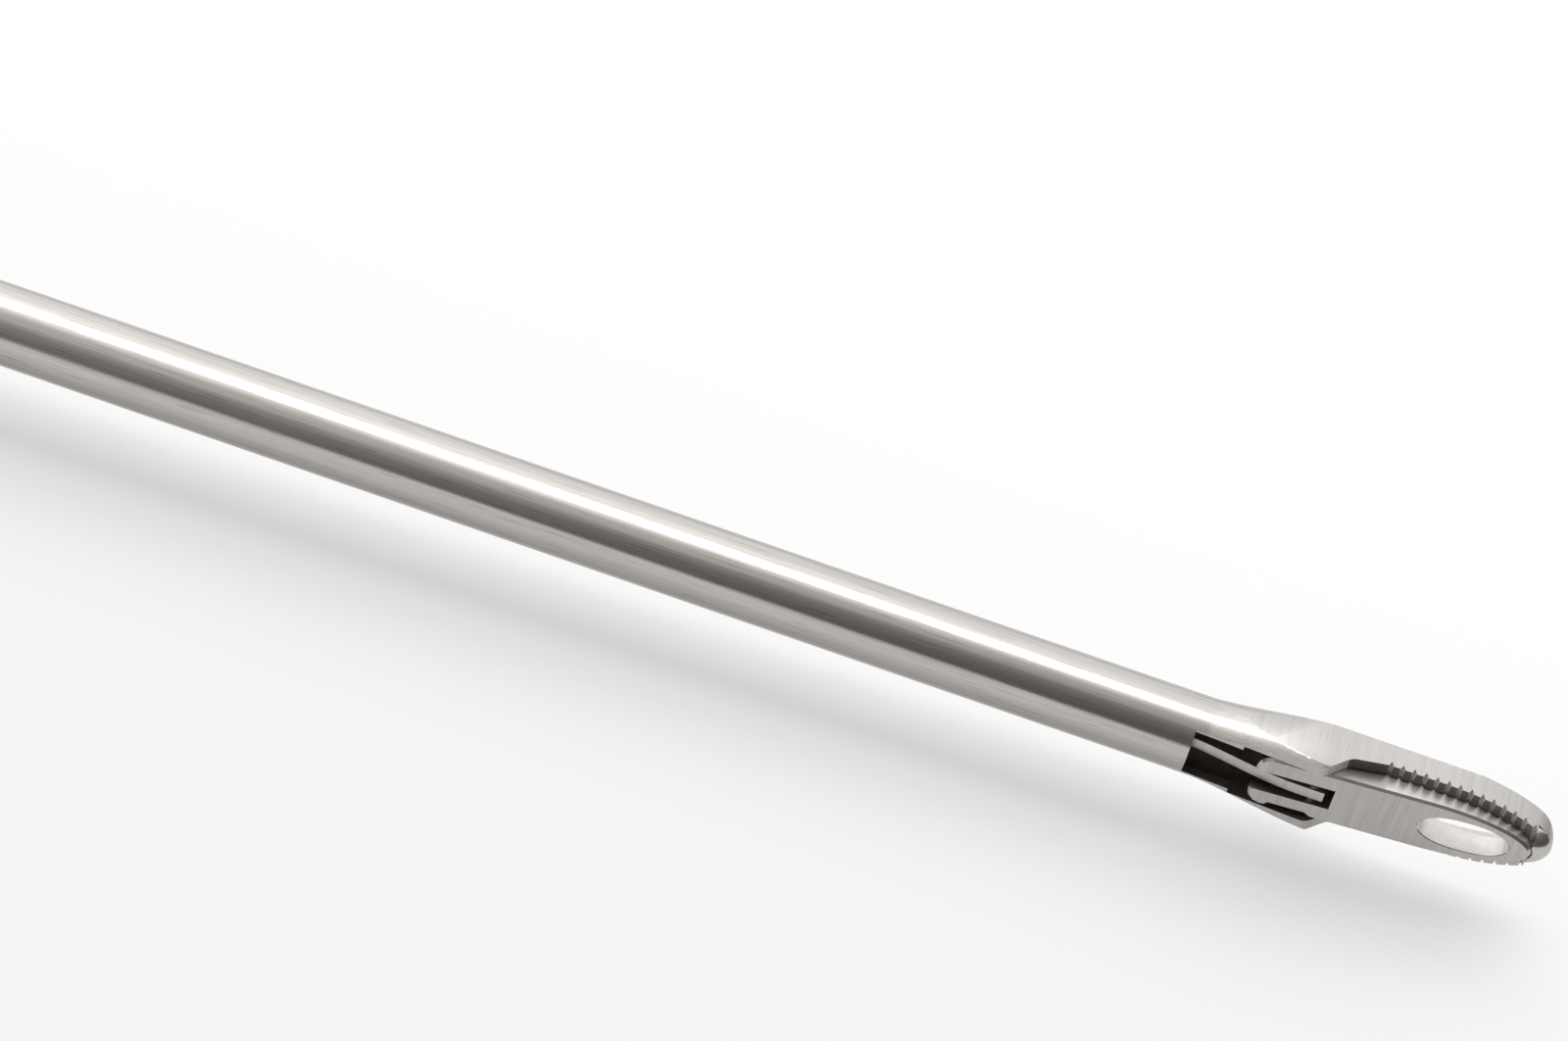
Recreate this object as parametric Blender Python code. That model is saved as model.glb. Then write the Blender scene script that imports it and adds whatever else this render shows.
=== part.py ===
"""Nasal cutting forceps: a tubular shaft with a through-cutting jaw, a ring handle and the
push rod between them. Units are metres. The forceps lie on their side: +X runs along the
shaft to the tip, +Z is up, and the handle rings lie towards +Y."""

import math

import bmesh
import bpy
from mathutils import Matrix, Vector

MM = 0.001

# Shaft tube
TUBE_DIA = 3.2 * MM
TUBE_WALL = 0.3 * MM
WORKING_LENGTH = 130.0 * MM  # from the head's front face to the tip
TUBE_IN_HEAD = 5.0 * MM

# Fixed jaw, one piece with the tube; lengths are measured back from the tip
JAW_WIDTH = 3.5 * MM  # across the two milled flats
FLARE_DIA = 4.28 * MM
FLARE_START = 14.4 * MM
FLARE_END = 9.6 * MM
NOSE_LENGTH = 4.9 * MM  # of the elliptical end, seen from below
BACK_HEIGHT = 1.33 * MM  # of the flat back above the shaft axis
BACK_START = 8.6 * MM
BACK_RAMP = 1.6 * MM
CHEEK_WALL = 0.49 * MM
WINDOW_START = 15.0 * MM
WINDOW_DEPTH = 1.1 * MM  # of the window's rear edge below the axis
WINDOW_HALF_WIDTH = 1.08 * MM
CHEEK_DEPTH = 1.39 * MM
CHEEK_END = 9.75 * MM
STEP_LENGTH = 1.35 * MM  # of the curved step from the cheek to the rim
STEP_TOP = 0.28 * MM  # depth of the step's upper end below the axis
RIM_START = 7.2 * MM
RIM_FALL = 0.1 * MM  # how far the rim leans away from the axis by the tip
NOSE_WALL = 0.69 * MM
LIP_HALF_WIDTH = 0.55 * MM
LIP_START = 1.0 * MM
LIP_STEP = 0.03 * MM  # the rim beside the lip is milled this much deeper
NOSE_MIDDLE = 0.45 * MM  # height of the foremost point above the axis

# Grip grooves in the rim
GROOVE_COUNT = 14
GROOVE_FIRST = 7.1 * MM
GROOVE_PITCH = 0.475 * MM
GROOVE_DEPTH = 0.3 * MM
GROOVE_HALF_ANGLE = math.radians(21)

# Cutting jaw
FACE_AT_TIP = 0.30 * MM  # depth of the outer face below the axis, at the tip
FACE_SLOPE = 0.090  # how fast the face falls away towards the tail
PUNCH_TIP_GAP = 0.06 * MM
PUNCH_NOSE_LENGTH = 4.3 * MM
PUNCH_TOP = 0.60 * MM
OPENING_REAR = 6.25 * MM  # rear end of the opening through the fixed jaw
TAIL_END = 12.1 * MM
TAIL_THICKNESS = 0.44 * MM
TAIL_CORNER = 0.55 * MM
EDGE_CHAMFER_TIP = 0.16 * MM
EDGE_CHAMFER_TAIL = 0.03 * MM
WINDOW_FRONT = 1.64 * MM
WINDOW_REAR = 5.37 * MM
WINDOW_WIDTH = 1.45 * MM
TAIL_SLOT_WIDTH = 1.0 * MM
TAIL_SLOT_END = 8.85 * MM
RELIEF_DEPTH = 0.24 * MM
RELIEF_FRONT = 9.45 * MM
RELIEF_REAR = 11.2 * MM
JAW_OPENING = math.radians(45)

# Jaw pivot and link
PIVOT_BACK = 10.05 * MM
PIVOT_HEIGHT = 0.35 * MM
PIVOT_PIN_DIA = 0.8 * MM
PIVOT_PIN_SINK = 0.3 * MM  # how deep the pin stands in each cheek
HUB_DIA = 1.7 * MM
LINK_ARM = 1.05 * MM  # from the pivot to the link pin
LINK_PIN_DIA = 0.36 * MM
LINK_PIN_SINK = 0.15 * MM  # the pin's ends lie this far inside the jaw's sides

# Drive strip and rod
STRIP_THICKNESS = 0.45 * MM
STRIP_HEIGHT = 0.9 * MM
STRIP_EDGE_REAR = 0.46 * MM  # depth of its lower edge below the axis, in the tube
STRIP_EDGE_FRONT = 1.13 * MM
STRIP_BEND_REAR = 15.5 * MM
STRIP_BEND_FRONT = 10.3 * MM
STRIP_FRONT = 9.2 * MM
STRIP_REAR = 25.0 * MM
ROD_FRONT = 18.5 * MM
ROD_DIA = 2.4 * MM
ROD_THREAD_DIA = 2.0 * MM
RIVET_DIA = 0.6 * MM
RIVET_BACK = (20.3 * MM, 23.3 * MM)

# Clearances
JAW_GAP = 0.04 * MM
PIN_GAP = 0.02 * MM
SLIDE_GAP = 0.05 * MM
SEAT_GAP = 0.05 * MM
FREE_GAP = 0.3 * MM

# Head of the rear handle
HEAD_THICKNESS = 8.0 * MM
HEAD_FRONT = 12.0 * MM  # from the origin to the front face
HEAD_REAR = 14.0 * MM
HEAD_TOP = 6.0 * MM  # from the shaft axis to the edge with the rinse port
HEAD_BOTTOM = 11.0 * MM
HEAD_NOSE = 4.4 * MM  # half-height of the front face
HEAD_CORNER = 2.4 * MM
HEAD_EDGE = 0.6 * MM
COLLAR_DIA = 5.2 * MM
COLLAR_FLANGE_DIA = 6.6 * MM
COLLAR_FLANGE = 2.0 * MM
COLLAR_LENGTH = 11.0 * MM  # ahead of the head's front face
COLLAR_TIP_WALL = 0.35 * MM
COLLAR_SCREW_DIA = 2.0 * MM
COLLAR_SCREW_X = 9.2 * MM
CHAMBER_DIA = 4.6 * MM
BUSH_LENGTH = 2.2 * MM
SEAL_THICKNESS = 0.95 * MM
PORT_X = 3.0 * MM
PORT_SPIGOT_DIA = 3.6 * MM
PORT_FLANGE_DIA = 6.0 * MM
PORT_LENGTH = 9.5 * MM
PORT_NECK_DIA = 4.6 * MM
PORT_LUG_DIA = 7.6 * MM
PORT_MOUTH_DIA = 4.3 * MM
PORT_BORE_DIA = 2.2 * MM
CAP_THREAD_DIA = 5.0 * MM
CAP_THICKNESS = 1.6 * MM
CAP_SLOT = 0.7 * MM

# Handle hinge and drive fork
HINGE_X = -8.0 * MM
HINGE_ARM = 4.5 * MM  # from the shaft axis to the hinge
HINGE_DIA = 3.9 * MM
HINGE_HEAD_DIA = 6.0 * MM
HINGE_HEAD_THICKNESS = 0.9 * MM
HINGE_SINK = 0.15 * MM
HINGE_NUT_DIA = 5.6 * MM
HINGE_THREAD_DIA = 2.6 * MM
BLADE_THICKNESS = 4.6 * MM
EYE_DIA = 6.6 * MM
WASHER_DIA = 5.8 * MM
WASHER_THICKNESS = 0.27 * MM
CHAMBER_HALF_LENGTH = 4.3 * MM  # of the fork's room, along the shaft
SPOOL_FLANGE_DIA = 3.3 * MM
SPOOL_GROOVE_DIA = 2.7 * MM
SPOOL_FLANGE = 0.8 * MM
FORK_GAP = 0.05 * MM
FORK_HALF_WIDTH = 1.6 * MM
FORK_REACH = 1.5 * MM
DRIVE_PIN_DIA = 1.3 * MM
LOCK_NUT_LENGTH = 1.3 * MM
LOCK_NUT_DIA = 3.2 * MM

# Handle rings and arms
RING_BORE = 23.0 * MM
RING_BAND = 3.6 * MM
RING_WIDTH = 7.0 * MM
THUMB_RING = (-42.0 * MM, 66.0 * MM)
FINGER_RING = (10.0 * MM, 72.0 * MM)
ARM_WIDTH_TOP = 8.0 * MM
ARM_WIDTH_RING = 5.4 * MM
ARM_THICKNESS = 5.0 * MM
THUMB_ARM_START = (-9.0 * MM, 3.0 * MM)
THUMB_ARM_BOW = (-4.0 * MM, -8.0 * MM)  # how far the arm's curve is pulled aside at each end
FINGER_ARM_BOW = (3.0 * MM, 9.0 * MM)

# Values that follow
AXIS_Z = HEAD_THICKNESS / 2
TIP_X = HEAD_FRONT + WORKING_LENGTH
TUBE_R = TUBE_DIA / 2
BORE_R = TUBE_R - TUBE_WALL
FLARE_R = FLARE_DIA / 2
POCKET_HALF = JAW_WIDTH / 2 - CHEEK_WALL
PUNCH_HALF = POCKET_HALF - JAW_GAP
PUNCH_TIP = NOSE_WALL + PUNCH_TIP_GAP
PIVOT = Vector((TIP_X - PIVOT_BACK, PIVOT_HEIGHT, AXIS_Z))
LINK_ANGLE = math.radians(-90) + JAW_OPENING / 2  # so that the pin's height changes least
LINK = PIVOT + LINK_ARM * Vector((math.cos(LINK_ANGLE), math.sin(LINK_ANGLE), 0))
ROD_TRAVEL = 2 * LINK_ARM * math.sin(JAW_OPENING / 2)
HINGE = Vector((HINGE_X, HINGE_ARM, AXIS_Z))
HANDLE_OPENING = math.asin(ROD_TRAVEL / HINGE_ARM)
ROD_R = ROD_DIA / 2
SLOT_HALF = BLADE_THICKNESS / 2 + WASHER_THICKNESS + 2 * SEAT_GAP
GROOVE_LENGTH = DRIVE_PIN_DIA + 2 * SLIDE_GAP
SPOOL_LENGTH = GROOVE_LENGTH + 2 * SPOOL_FLANGE
CHAMBER_FRONT = HINGE_X + CHAMBER_HALF_LENGTH
CHAMBER_REAR = HINGE_X - CHAMBER_HALF_LENGTH
REACH = 20.0 * MM  # how far a cutter runs past what it cuts
ROUND_SIDES = 40
SMALL_SIDES = 20


def clear_scene():
    for item in list(bpy.data.objects):
        bpy.data.objects.remove(item, do_unlink=True)


def metal(name, colour, roughness):
    found = bpy.data.materials.new(name)
    found.use_nodes = True
    shader = found.node_tree.nodes["Principled BSDF"]
    shader.inputs["Base Color"].default_value = (*colour, 1.0)
    shader.inputs["Metallic"].default_value = 1.0
    shader.inputs["Roughness"].default_value = roughness
    found.diffuse_color = (*colour, 1.0)
    return found


def rubber(name, colour):
    found = metal(name, colour, 0.6)
    found.node_tree.nodes["Principled BSDF"].inputs["Metallic"].default_value = 0.0
    return found


def add_object(name, bm, material=None):
    bmesh.ops.remove_doubles(bm, verts=bm.verts, dist=1e-8)
    bmesh.ops.recalc_face_normals(bm, faces=bm.faces)
    mesh = bpy.data.meshes.new(name)
    bm.to_mesh(mesh)
    bm.free()
    item = bpy.data.objects.new(name, mesh)
    bpy.context.scene.collection.objects.link(item)
    if material:
        mesh.materials.append(material)
        mesh.shade_smooth()
        mesh.set_sharp_from_angle(angle=math.radians(30))
    return item


def set_origin(item, point):
    """Moves an object's origin to a point and leaves its shape where it is."""
    point = Vector(point)
    item.data.transform(Matrix.Translation(-point))
    item.location = point


def behind(distance):
    return TIP_X - distance


def arc(centre, radius, start, end, steps):
    """Points on an arc from one angle to another, in degrees."""
    points = []
    for step in range(steps + 1):
        angle = math.radians(start + (end - start) * step / steps)
        points.append((centre[0] + radius * math.cos(angle), centre[1] + radius * math.sin(angle)))
    return points


def rounded(corners, radius, steps=4):
    """The outline through these corners with each one rounded off."""
    points = []
    for index, corner in enumerate(corners):
        here = Vector(corner)
        before = Vector(corners[index - 1]) - here
        after = Vector(corners[(index + 1) % len(corners)]) - here
        half = before.angle(after) / 2
        run = min(radius / math.tan(half), 0.45 * before.length, 0.45 * after.length)
        start = here + before.normalized() * run
        end = here + after.normalized() * run
        for step in range(steps + 1):
            share = step / steps
            points.append((start * (1 - share) + here * share) * (1 - share)
                          + (here * (1 - share) + end * share) * share)
    return [tuple(point) for point in points]


def prism(name, outline, along, low, high, material=None):
    """An outline in (x, y) extruded along Z, or one in (x, z) extruded along Y."""
    bm = bmesh.new()
    if along == "Z":
        verts = [bm.verts.new((x, y, low)) for x, y in outline]
    else:
        verts = [bm.verts.new((x, low, z)) for x, z in outline]
    face = bm.faces.new(verts)
    raised = bmesh.ops.extrude_face_region(bm, geom=[face])
    moved = [part for part in raised["geom"] if isinstance(part, bmesh.types.BMVert)]
    shift = (0, 0, high - low) if along == "Z" else (0, high - low, 0)
    bmesh.ops.translate(bm, verts=moved, vec=shift)
    return add_object(name, bm, material)


def box(name, low, high):
    corners = [(low[0], low[1]), (high[0], low[1]), (high[0], high[1]), (low[0], high[1])]
    return prism(name, corners, "Z", low[2], high[2])


def turned(name, profile, centre, axis, sides, material=None, hollow=False):
    """A profile of (distance along the axis, radius) spun about an axis through centre."""
    side = Vector((0, 0, 1)) if axis != "Z" else Vector((1, 0, 0))
    way = {"X": Vector((1, 0, 0)), "Y": Vector((0, 1, 0)), "Z": Vector((0, 0, 1))}[axis]
    centre = Vector(centre)
    points = list(profile)
    if not hollow:
        points = [(points[0][0], 0.0), *points, (points[-1][0], 0.0)]
    bm = bmesh.new()
    verts = [bm.verts.new(centre + way * along + side * radius) for along, radius in points]
    pairs = list(zip(verts, verts[1:]))
    if hollow:
        pairs.append((verts[-1], verts[0]))
    edges = [bm.edges.new(pair) for pair in pairs]
    bmesh.ops.spin(bm, geom=verts + edges, cent=centre, axis=way, angle=2 * math.pi,
                   steps=sides, use_merge=True)
    return add_object(name, bm, material)


def disc(name, centre, axis, radius, low, high, material=None, sides=SMALL_SIDES):
    """A plain cylinder from low to high along its axis, measured from centre."""
    return turned(name, [(low, radius), (high, radius)], centre, axis, sides, material)


def swept(name, path, widths, thickness, sides=14):
    """A rounded bar along a path in the plane of the handle."""
    bm = bmesh.new()
    rings = []
    for index, (point, width) in enumerate(zip(path, widths)):
        ahead = path[min(index + 1, len(path) - 1)] - path[max(index - 1, 0)]
        across = Vector((-ahead.y, ahead.x)).normalized()
        ring = []
        for step in range(sides):
            angle = 2 * math.pi * step / sides
            flat = math.copysign(abs(math.cos(angle)) ** 0.75, math.cos(angle)) * width / 2
            high = math.copysign(abs(math.sin(angle)) ** 0.75, math.sin(angle)) * thickness / 2
            place = point + across * flat
            ring.append(bm.verts.new((place.x, place.y, AXIS_Z + high)))
        rings.append(ring)
    for first, second in zip(rings, rings[1:]):
        for step in range(sides):
            after = (step + 1) % sides
            bm.faces.new((first[step], first[after], second[after], second[step]))
    bm.faces.new(rings[0])
    bm.faces.new(rings[-1])
    return add_object(name, bm)


def boolean(target, tool, operation):
    modifier = target.modifiers.new(tool.name, "BOOLEAN")
    modifier.operation = operation
    modifier.solver = "EXACT"
    modifier.object = tool
    tool.hide_render = True
    tool.display_type = "WIRE"


def cut(target, *tools):
    for tool in tools:
        boolean(target, tool, "DIFFERENCE")


def join(target, *tools):
    for tool in tools:
        boolean(target, tool, "UNION")


def weld(target):
    """Closes the hairline steps that many cuts leave where their edges meet."""
    modifier = target.modifiers.new("weld", "WELD")
    modifier.merge_threshold = 0.002 * MM


def nose_outline(tip, length, half_width, rear, steps=12):
    """Seen from below: straight sides and half an ellipse at the tip, as (x, z)."""
    points = [(behind(rear), AXIS_Z - half_width)]
    for step in range(steps + 1):
        angle = math.radians(-90 + 180 * step / steps)
        points.append((behind(tip + length) + length * math.cos(angle),
                       AXIS_Z + half_width * math.sin(angle)))
    points.append((behind(rear), AXIS_Z + half_width))
    return points


def nose_half_width(back, tip, length, half_width):
    """The half-width of nose_outline at a distance behind the tip."""
    share = max(0.0, (tip + length - back) / length)
    return half_width * math.sqrt(max(0.0, 1 - share * share))


def face_height(back):
    return -(FACE_AT_TIP + FACE_SLOPE * back)


def rim_height(back):
    return RIM_FALL * (RIM_START - back) / RIM_START


def tube_blank(material):
    """The turned blank: a round tube that flares into the head of the fixed jaw."""
    rear = HEAD_FRONT - TUBE_IN_HEAD
    profile = [(rear, TUBE_R), (behind(FLARE_START), TUBE_R)]
    steps = 7
    for step in range(1, steps + 1):
        share = step / steps
        ease = share * share * (3 - 2 * share)
        radius = TUBE_R + (FLARE_R - TUBE_R) * (0.55 * share + 0.45 * ease)
        profile.append((behind(FLARE_START + (FLARE_END - FLARE_START) * share), radius))
    profile.append((TIP_X + NOSE_WALL, FLARE_R))
    return turned("shaft_tube", profile, (0, 0, AXIS_Z), "X", ROUND_SIDES, material)


def lower_cut():
    """Opens the tube below: the window, the cheeks, the curved step and the toothed rim."""
    start = Vector((behind(CHEEK_END), -CHEEK_DEPTH))
    end = Vector((behind(CHEEK_END - STEP_LENGTH), -STEP_TOP))
    flat = Vector((STEP_LENGTH, 0)) * 0.4
    points = [(behind(WINDOW_START), -REACH), (behind(WINDOW_START), -WINDOW_DEPTH)]
    points += [tuple(point) for point in bezier(start, start + flat, end - flat, end, 8)]
    points.append((behind(RIM_START), rim_height(RIM_START)))
    points.append((behind(LIP_START), rim_height(LIP_START)))
    points.append((behind(LIP_START), face_height(LIP_START)))
    points += nose_side(-90, 0)
    points.append((TIP_X + REACH, NOSE_MIDDLE))
    points.append((TIP_X + REACH, -REACH))
    return prism("lower_cut", points, "Z", AXIS_Z - REACH, AXIS_Z + REACH)


def nose_side(start, end, steps=7):
    """The rounded nose seen from the side, from its foremost point down or up."""
    height = NOSE_MIDDLE - face_height(NOSE_WALL) if start < 0 else BACK_HEIGHT - NOSE_MIDDLE
    points = []
    for step in range(steps + 1):
        angle = math.radians(start + (end - start) * step / steps)
        points.append((behind(NOSE_WALL) + NOSE_WALL * math.cos(angle),
                       NOSE_MIDDLE + height * math.sin(angle)))
    return points


def back_cut():
    """Mills the back of the fixed jaw flat and rounds its nose."""
    points = [(behind(BACK_START + BACK_RAMP), FLARE_R + NOSE_WALL),
              (behind(BACK_START + BACK_RAMP), FLARE_R),
              (behind(BACK_START), BACK_HEIGHT)]
    points += nose_side(90, 0)
    points += [(TIP_X + REACH, NOSE_MIDDLE), (TIP_X + REACH, FLARE_R + NOSE_WALL)]
    return prism("back_cut", points, "Z", AXIS_Z - REACH, AXIS_Z + REACH)


def pocket_cut():
    """The room for the cutting jaw's hub, top and swinging tail."""
    swing = PIVOT_BACK + math.hypot(TAIL_END - PIVOT_BACK, PIVOT_HEIGHT - face_height(TAIL_END))
    rear = swing + 2 * JAW_GAP
    tail_top = tail_swing_top() + 2 * JAW_GAP
    hub = HUB_DIA / 2 + 2 * JAW_GAP
    points = [(behind(rear), -REACH), (behind(rear), tail_top - TAIL_THICKNESS),
              (behind(rear - TAIL_THICKNESS), tail_top),
              (behind(PIVOT_BACK + hub), tail_top)]
    points += arc((behind(PIVOT_BACK), PIVOT_HEIGHT), hub, 135, 30, 6)
    points += [(behind(PIVOT_BACK - hub), PUNCH_TOP + 4 * JAW_GAP),
               (behind(OPENING_REAR - 2 * JAW_GAP), PUNCH_TOP + 4 * JAW_GAP),
               (behind(OPENING_REAR - 2 * JAW_GAP), -REACH)]
    return prism("pocket_cut", points, "Z", AXIS_Z - POCKET_HALF, AXIS_Z + POCKET_HALF)


def tail_swing_top():
    """The height that the tail's upper rear corner reaches with the jaw open."""
    across = PIVOT_BACK - TAIL_END
    down = face_height(TAIL_END) + TAIL_THICKNESS - PIVOT_HEIGHT
    return PIVOT_HEIGHT - across * math.sin(JAW_OPENING) + down * math.cos(JAW_OPENING)


def groove_cutters():
    """V-grooves across the rim, deepest at its outer corner and gone at its cutting edge."""
    bm = bmesh.new()
    lead = 0.06 * MM
    for number in range(GROOVE_COUNT):
        back = GROOVE_FIRST - number * GROOVE_PITCH
        outer = nose_half_width(back, 0, NOSE_LENGTH, JAW_WIDTH / 2)
        inner = nose_half_width(back, NOSE_WALL, PUNCH_NOSE_LENGTH, POCKET_HALF)
        rim = rim_height(back)
        slope = GROOVE_DEPTH / (outer - inner)
        for side in (-1, 1):
            rings = []
            for reach in (inner + lead, outer + 2 * lead):
                top = rim + slope * (reach - inner - lead)
                low = rim - GROOVE_DEPTH
                half = (top - low) * math.tan(GROOVE_HALF_ANGLE)
                z = AXIS_Z + side * reach
                rings.append([bm.verts.new((behind(back) - half, low, z)),
                              bm.verts.new((behind(back) + half, low, z)),
                              bm.verts.new((behind(back), top, z))])
            for index in range(3):
                after = (index + 1) % 3
                bm.faces.new((rings[0][index], rings[0][after], rings[1][after], rings[1][index]))
            bm.faces.new(rings[0])
            bm.faces.new(rings[1])
    return add_object("groove_cutters", bm)


def shaft_tube(material):
    tube = tube_blank(material)
    flats = prism("jaw_flats",
                  nose_outline(0, NOSE_LENGTH, JAW_WIDTH / 2, TIP_X + REACH, steps=22), "Y",
                  -REACH, REACH)
    boolean(tube, flats, "INTERSECT")
    bore = disc("tube_bore", (0, 0, AXIS_Z), "X", BORE_R, -REACH,
                behind(TAIL_END), sides=ROUND_SIDES)
    opening = prism("ring_opening",
                    nose_outline(NOSE_WALL, PUNCH_NOSE_LENGTH, POCKET_HALF, OPENING_REAR, steps=20),
                    "Y", -REACH, REACH)
    window = box("shaft_window",
                 (behind(WINDOW_START), -REACH, AXIS_Z - WINDOW_HALF_WIDTH),
                 (behind(TAIL_END), 0, AXIS_Z + WINDOW_HALF_WIDTH))
    cut(tube, back_cut(), lower_cut(), bore, window, pocket_cut(), opening, groove_cutters())
    for side, z in (("lower", AXIS_Z - POCKET_HALF), ("upper", AXIS_Z + POCKET_HALF)):
        low = min(z, z + math.copysign(PIVOT_PIN_SINK + PIN_GAP, z - AXIS_Z))
        high = max(z, z + math.copysign(PIVOT_PIN_SINK + PIN_GAP, z - AXIS_Z))
        inward = math.copysign(JAW_GAP, AXIS_Z - z)
        seat = disc(f"pivot_seat_{side}", PIVOT, "Z", PIVOT_PIN_DIA / 2 + PIN_GAP,
                    min(low, low + inward) - AXIS_Z, max(high, high + inward) - AXIS_Z)
        relief_low = AXIS_Z + LIP_HALF_WIDTH if side == "upper" else AXIS_Z - REACH
        relief_high = AXIS_Z + REACH if side == "upper" else AXIS_Z - LIP_HALF_WIDTH
        beside_lip = box(f"beside_lip_{side}",
                         (behind(LIP_START + 0.2 * MM), -REACH, relief_low),
                         (TIP_X + REACH, rim_height(LIP_START) + LIP_STEP, relief_high))
        cut(tube, seat, beside_lip)
    weld(tube)
    return tube


def jaw_side_profile():
    """The cutting jaw from the side: flat top, round hub and thin tail."""
    low = face_height(TAIL_END) - NOSE_WALL
    tail_top = face_height(TAIL_END) + TAIL_THICKNESS
    points = [(behind(TAIL_END) - JAW_GAP, low), (TIP_X, low), (TIP_X, PUNCH_TOP)]
    points += arc((behind(PIVOT_BACK), PIVOT_HEIGHT), HUB_DIA / 2, 25, 205, 12)
    points += [(behind(PIVOT_BACK + HUB_DIA / 2 + TAIL_THICKNESS), tail_top),
               (behind(TAIL_END) - JAW_GAP, tail_top)]
    return points


def jaw_blank(material):
    """The jaw's plan shape, with the chamfer round its flat outer face."""
    outline = nose_outline(PUNCH_TIP, PUNCH_NOSE_LENGTH, PUNCH_HALF, TAIL_END, steps=20)
    bevelled_ends = []
    for side, (first, second) in (("first", (outline[1], outline[0])),
                                  ("last", (outline[-2], outline[-1]))):
        start = (second[0] + TAIL_CORNER, second[1])
        sign = 1 if second[1] > AXIS_Z else -1
        turn = [(second[0] + TAIL_CORNER - TAIL_CORNER * math.sin(math.radians(a)),
                 second[1] - sign * TAIL_CORNER * (1 - math.cos(math.radians(a))))
                for a in (0, 22.5, 45, 67.5, 90)]
        bevelled_ends.append(turn if side == "last" else turn[::-1])
    points = bevelled_ends[0] + outline[1:-1] + bevelled_ends[1]
    bm = bmesh.new()
    count = len(points)
    levels = [[], [], []]
    for index, (x, z) in enumerate(points):
        before = Vector(points[index - 1])
        after = Vector(points[(index + 1) % count])
        tangent = (after - before).normalized()
        inward = Vector((-tangent.y, tangent.x))
        back = TIP_X - x
        share = min(1.0, back / TAIL_END)
        chamfer = EDGE_CHAMFER_TIP + (EDGE_CHAMFER_TAIL - EDGE_CHAMFER_TIP) * share
        inner = Vector((x, z)) + inward * chamfer
        levels[0].append(bm.verts.new((inner.x, face_height(TIP_X - inner.x), inner.y)))
        levels[1].append(bm.verts.new((x, face_height(back) + chamfer, z)))
        levels[2].append(bm.verts.new((x, FLARE_R, z)))
    for low, high in zip(levels, levels[1:]):
        for index in range(count):
            after = (index + 1) % count
            bm.faces.new((low[index], low[after], high[after], high[index]))
    bm.faces.new(levels[0])
    bm.faces.new(levels[2])
    return add_object("cutting_jaw", bm, material)


def cutting_jaw(material):
    jaw = jaw_blank(material)
    side = prism("jaw_side", jaw_side_profile(), "Z", AXIS_Z - REACH, AXIS_Z + REACH)
    boolean(jaw, side, "INTERSECT")
    slot_half = TAIL_SLOT_WIDTH / 2
    slot = box("tail_slot", (behind(TAIL_END) - REACH, -REACH, AXIS_Z - slot_half),
               (behind(TAIL_SLOT_END), REACH, AXIS_Z + slot_half))
    window = prism("jaw_window", window_outline(), "Y", -REACH, REACH)
    side = AXIS_Z - PUNCH_HALF
    relief = prism("jaw_relief",
                   [(behind(RELIEF_REAR + RELIEF_DEPTH), side - JAW_GAP),
                    (behind(RELIEF_FRONT - RELIEF_DEPTH), side - JAW_GAP),
                    (behind(RELIEF_FRONT + RELIEF_DEPTH), side + RELIEF_DEPTH),
                    (behind(RELIEF_REAR), side + RELIEF_DEPTH)], "Y", -REACH, PUNCH_TOP)
    pivot_hole = disc("pivot_hole", PIVOT, "Z", PIVOT_PIN_DIA / 2 + PIN_GAP, -REACH, REACH)
    link_hole = disc("link_hole", LINK, "Z", LINK_PIN_DIA / 2 + PIN_GAP, -REACH, REACH)
    cut(jaw, slot, window, relief, pivot_hole, link_hole)
    set_origin(jaw, PIVOT)
    return jaw


def window_outline(steps=9):
    """The oval window: an ellipse drawn out at the front, as (x, z)."""
    middle = (WINDOW_FRONT + WINDOW_REAR) / 2
    half = (WINDOW_REAR - WINDOW_FRONT) / 2
    points = []
    for step in range(4 * steps):
        angle = 2 * math.pi * step / (4 * steps)
        along = math.copysign(abs(math.cos(angle)) ** 0.85, math.cos(angle))
        points.append((behind(middle) + half * along,
                       AXIS_Z + WINDOW_WIDTH / 2 * math.sin(angle)))
    return points


def jaw_pins(material):
    reach = POCKET_HALF + PIVOT_PIN_SINK
    pivot_pin = disc("jaw_pivot_pin", PIVOT, "Z", PIVOT_PIN_DIA / 2, -reach, reach, material)
    reach = PUNCH_HALF - LINK_PIN_SINK
    if RELIEF_DEPTH > LINK_PIN_SINK:
        reach = PUNCH_HALF - RELIEF_DEPTH
    link_pin = disc("link_pin", LINK, "Z", LINK_PIN_DIA / 2, -reach, reach, material, sides=16)
    set_origin(pivot_pin, PIVOT)
    set_origin(link_pin, PIVOT)
    return pivot_pin, link_pin


def strip_edge(back):
    """Height of the drive strip's lower edge, which steps down in a gentle S."""
    share = (STRIP_BEND_REAR - back) / (STRIP_BEND_REAR - STRIP_BEND_FRONT)
    share = min(1.0, max(0.0, share))
    ease = share * share * (3 - 2 * share)
    return -(STRIP_EDGE_REAR + (STRIP_EDGE_FRONT - STRIP_EDGE_REAR) * ease)


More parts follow.
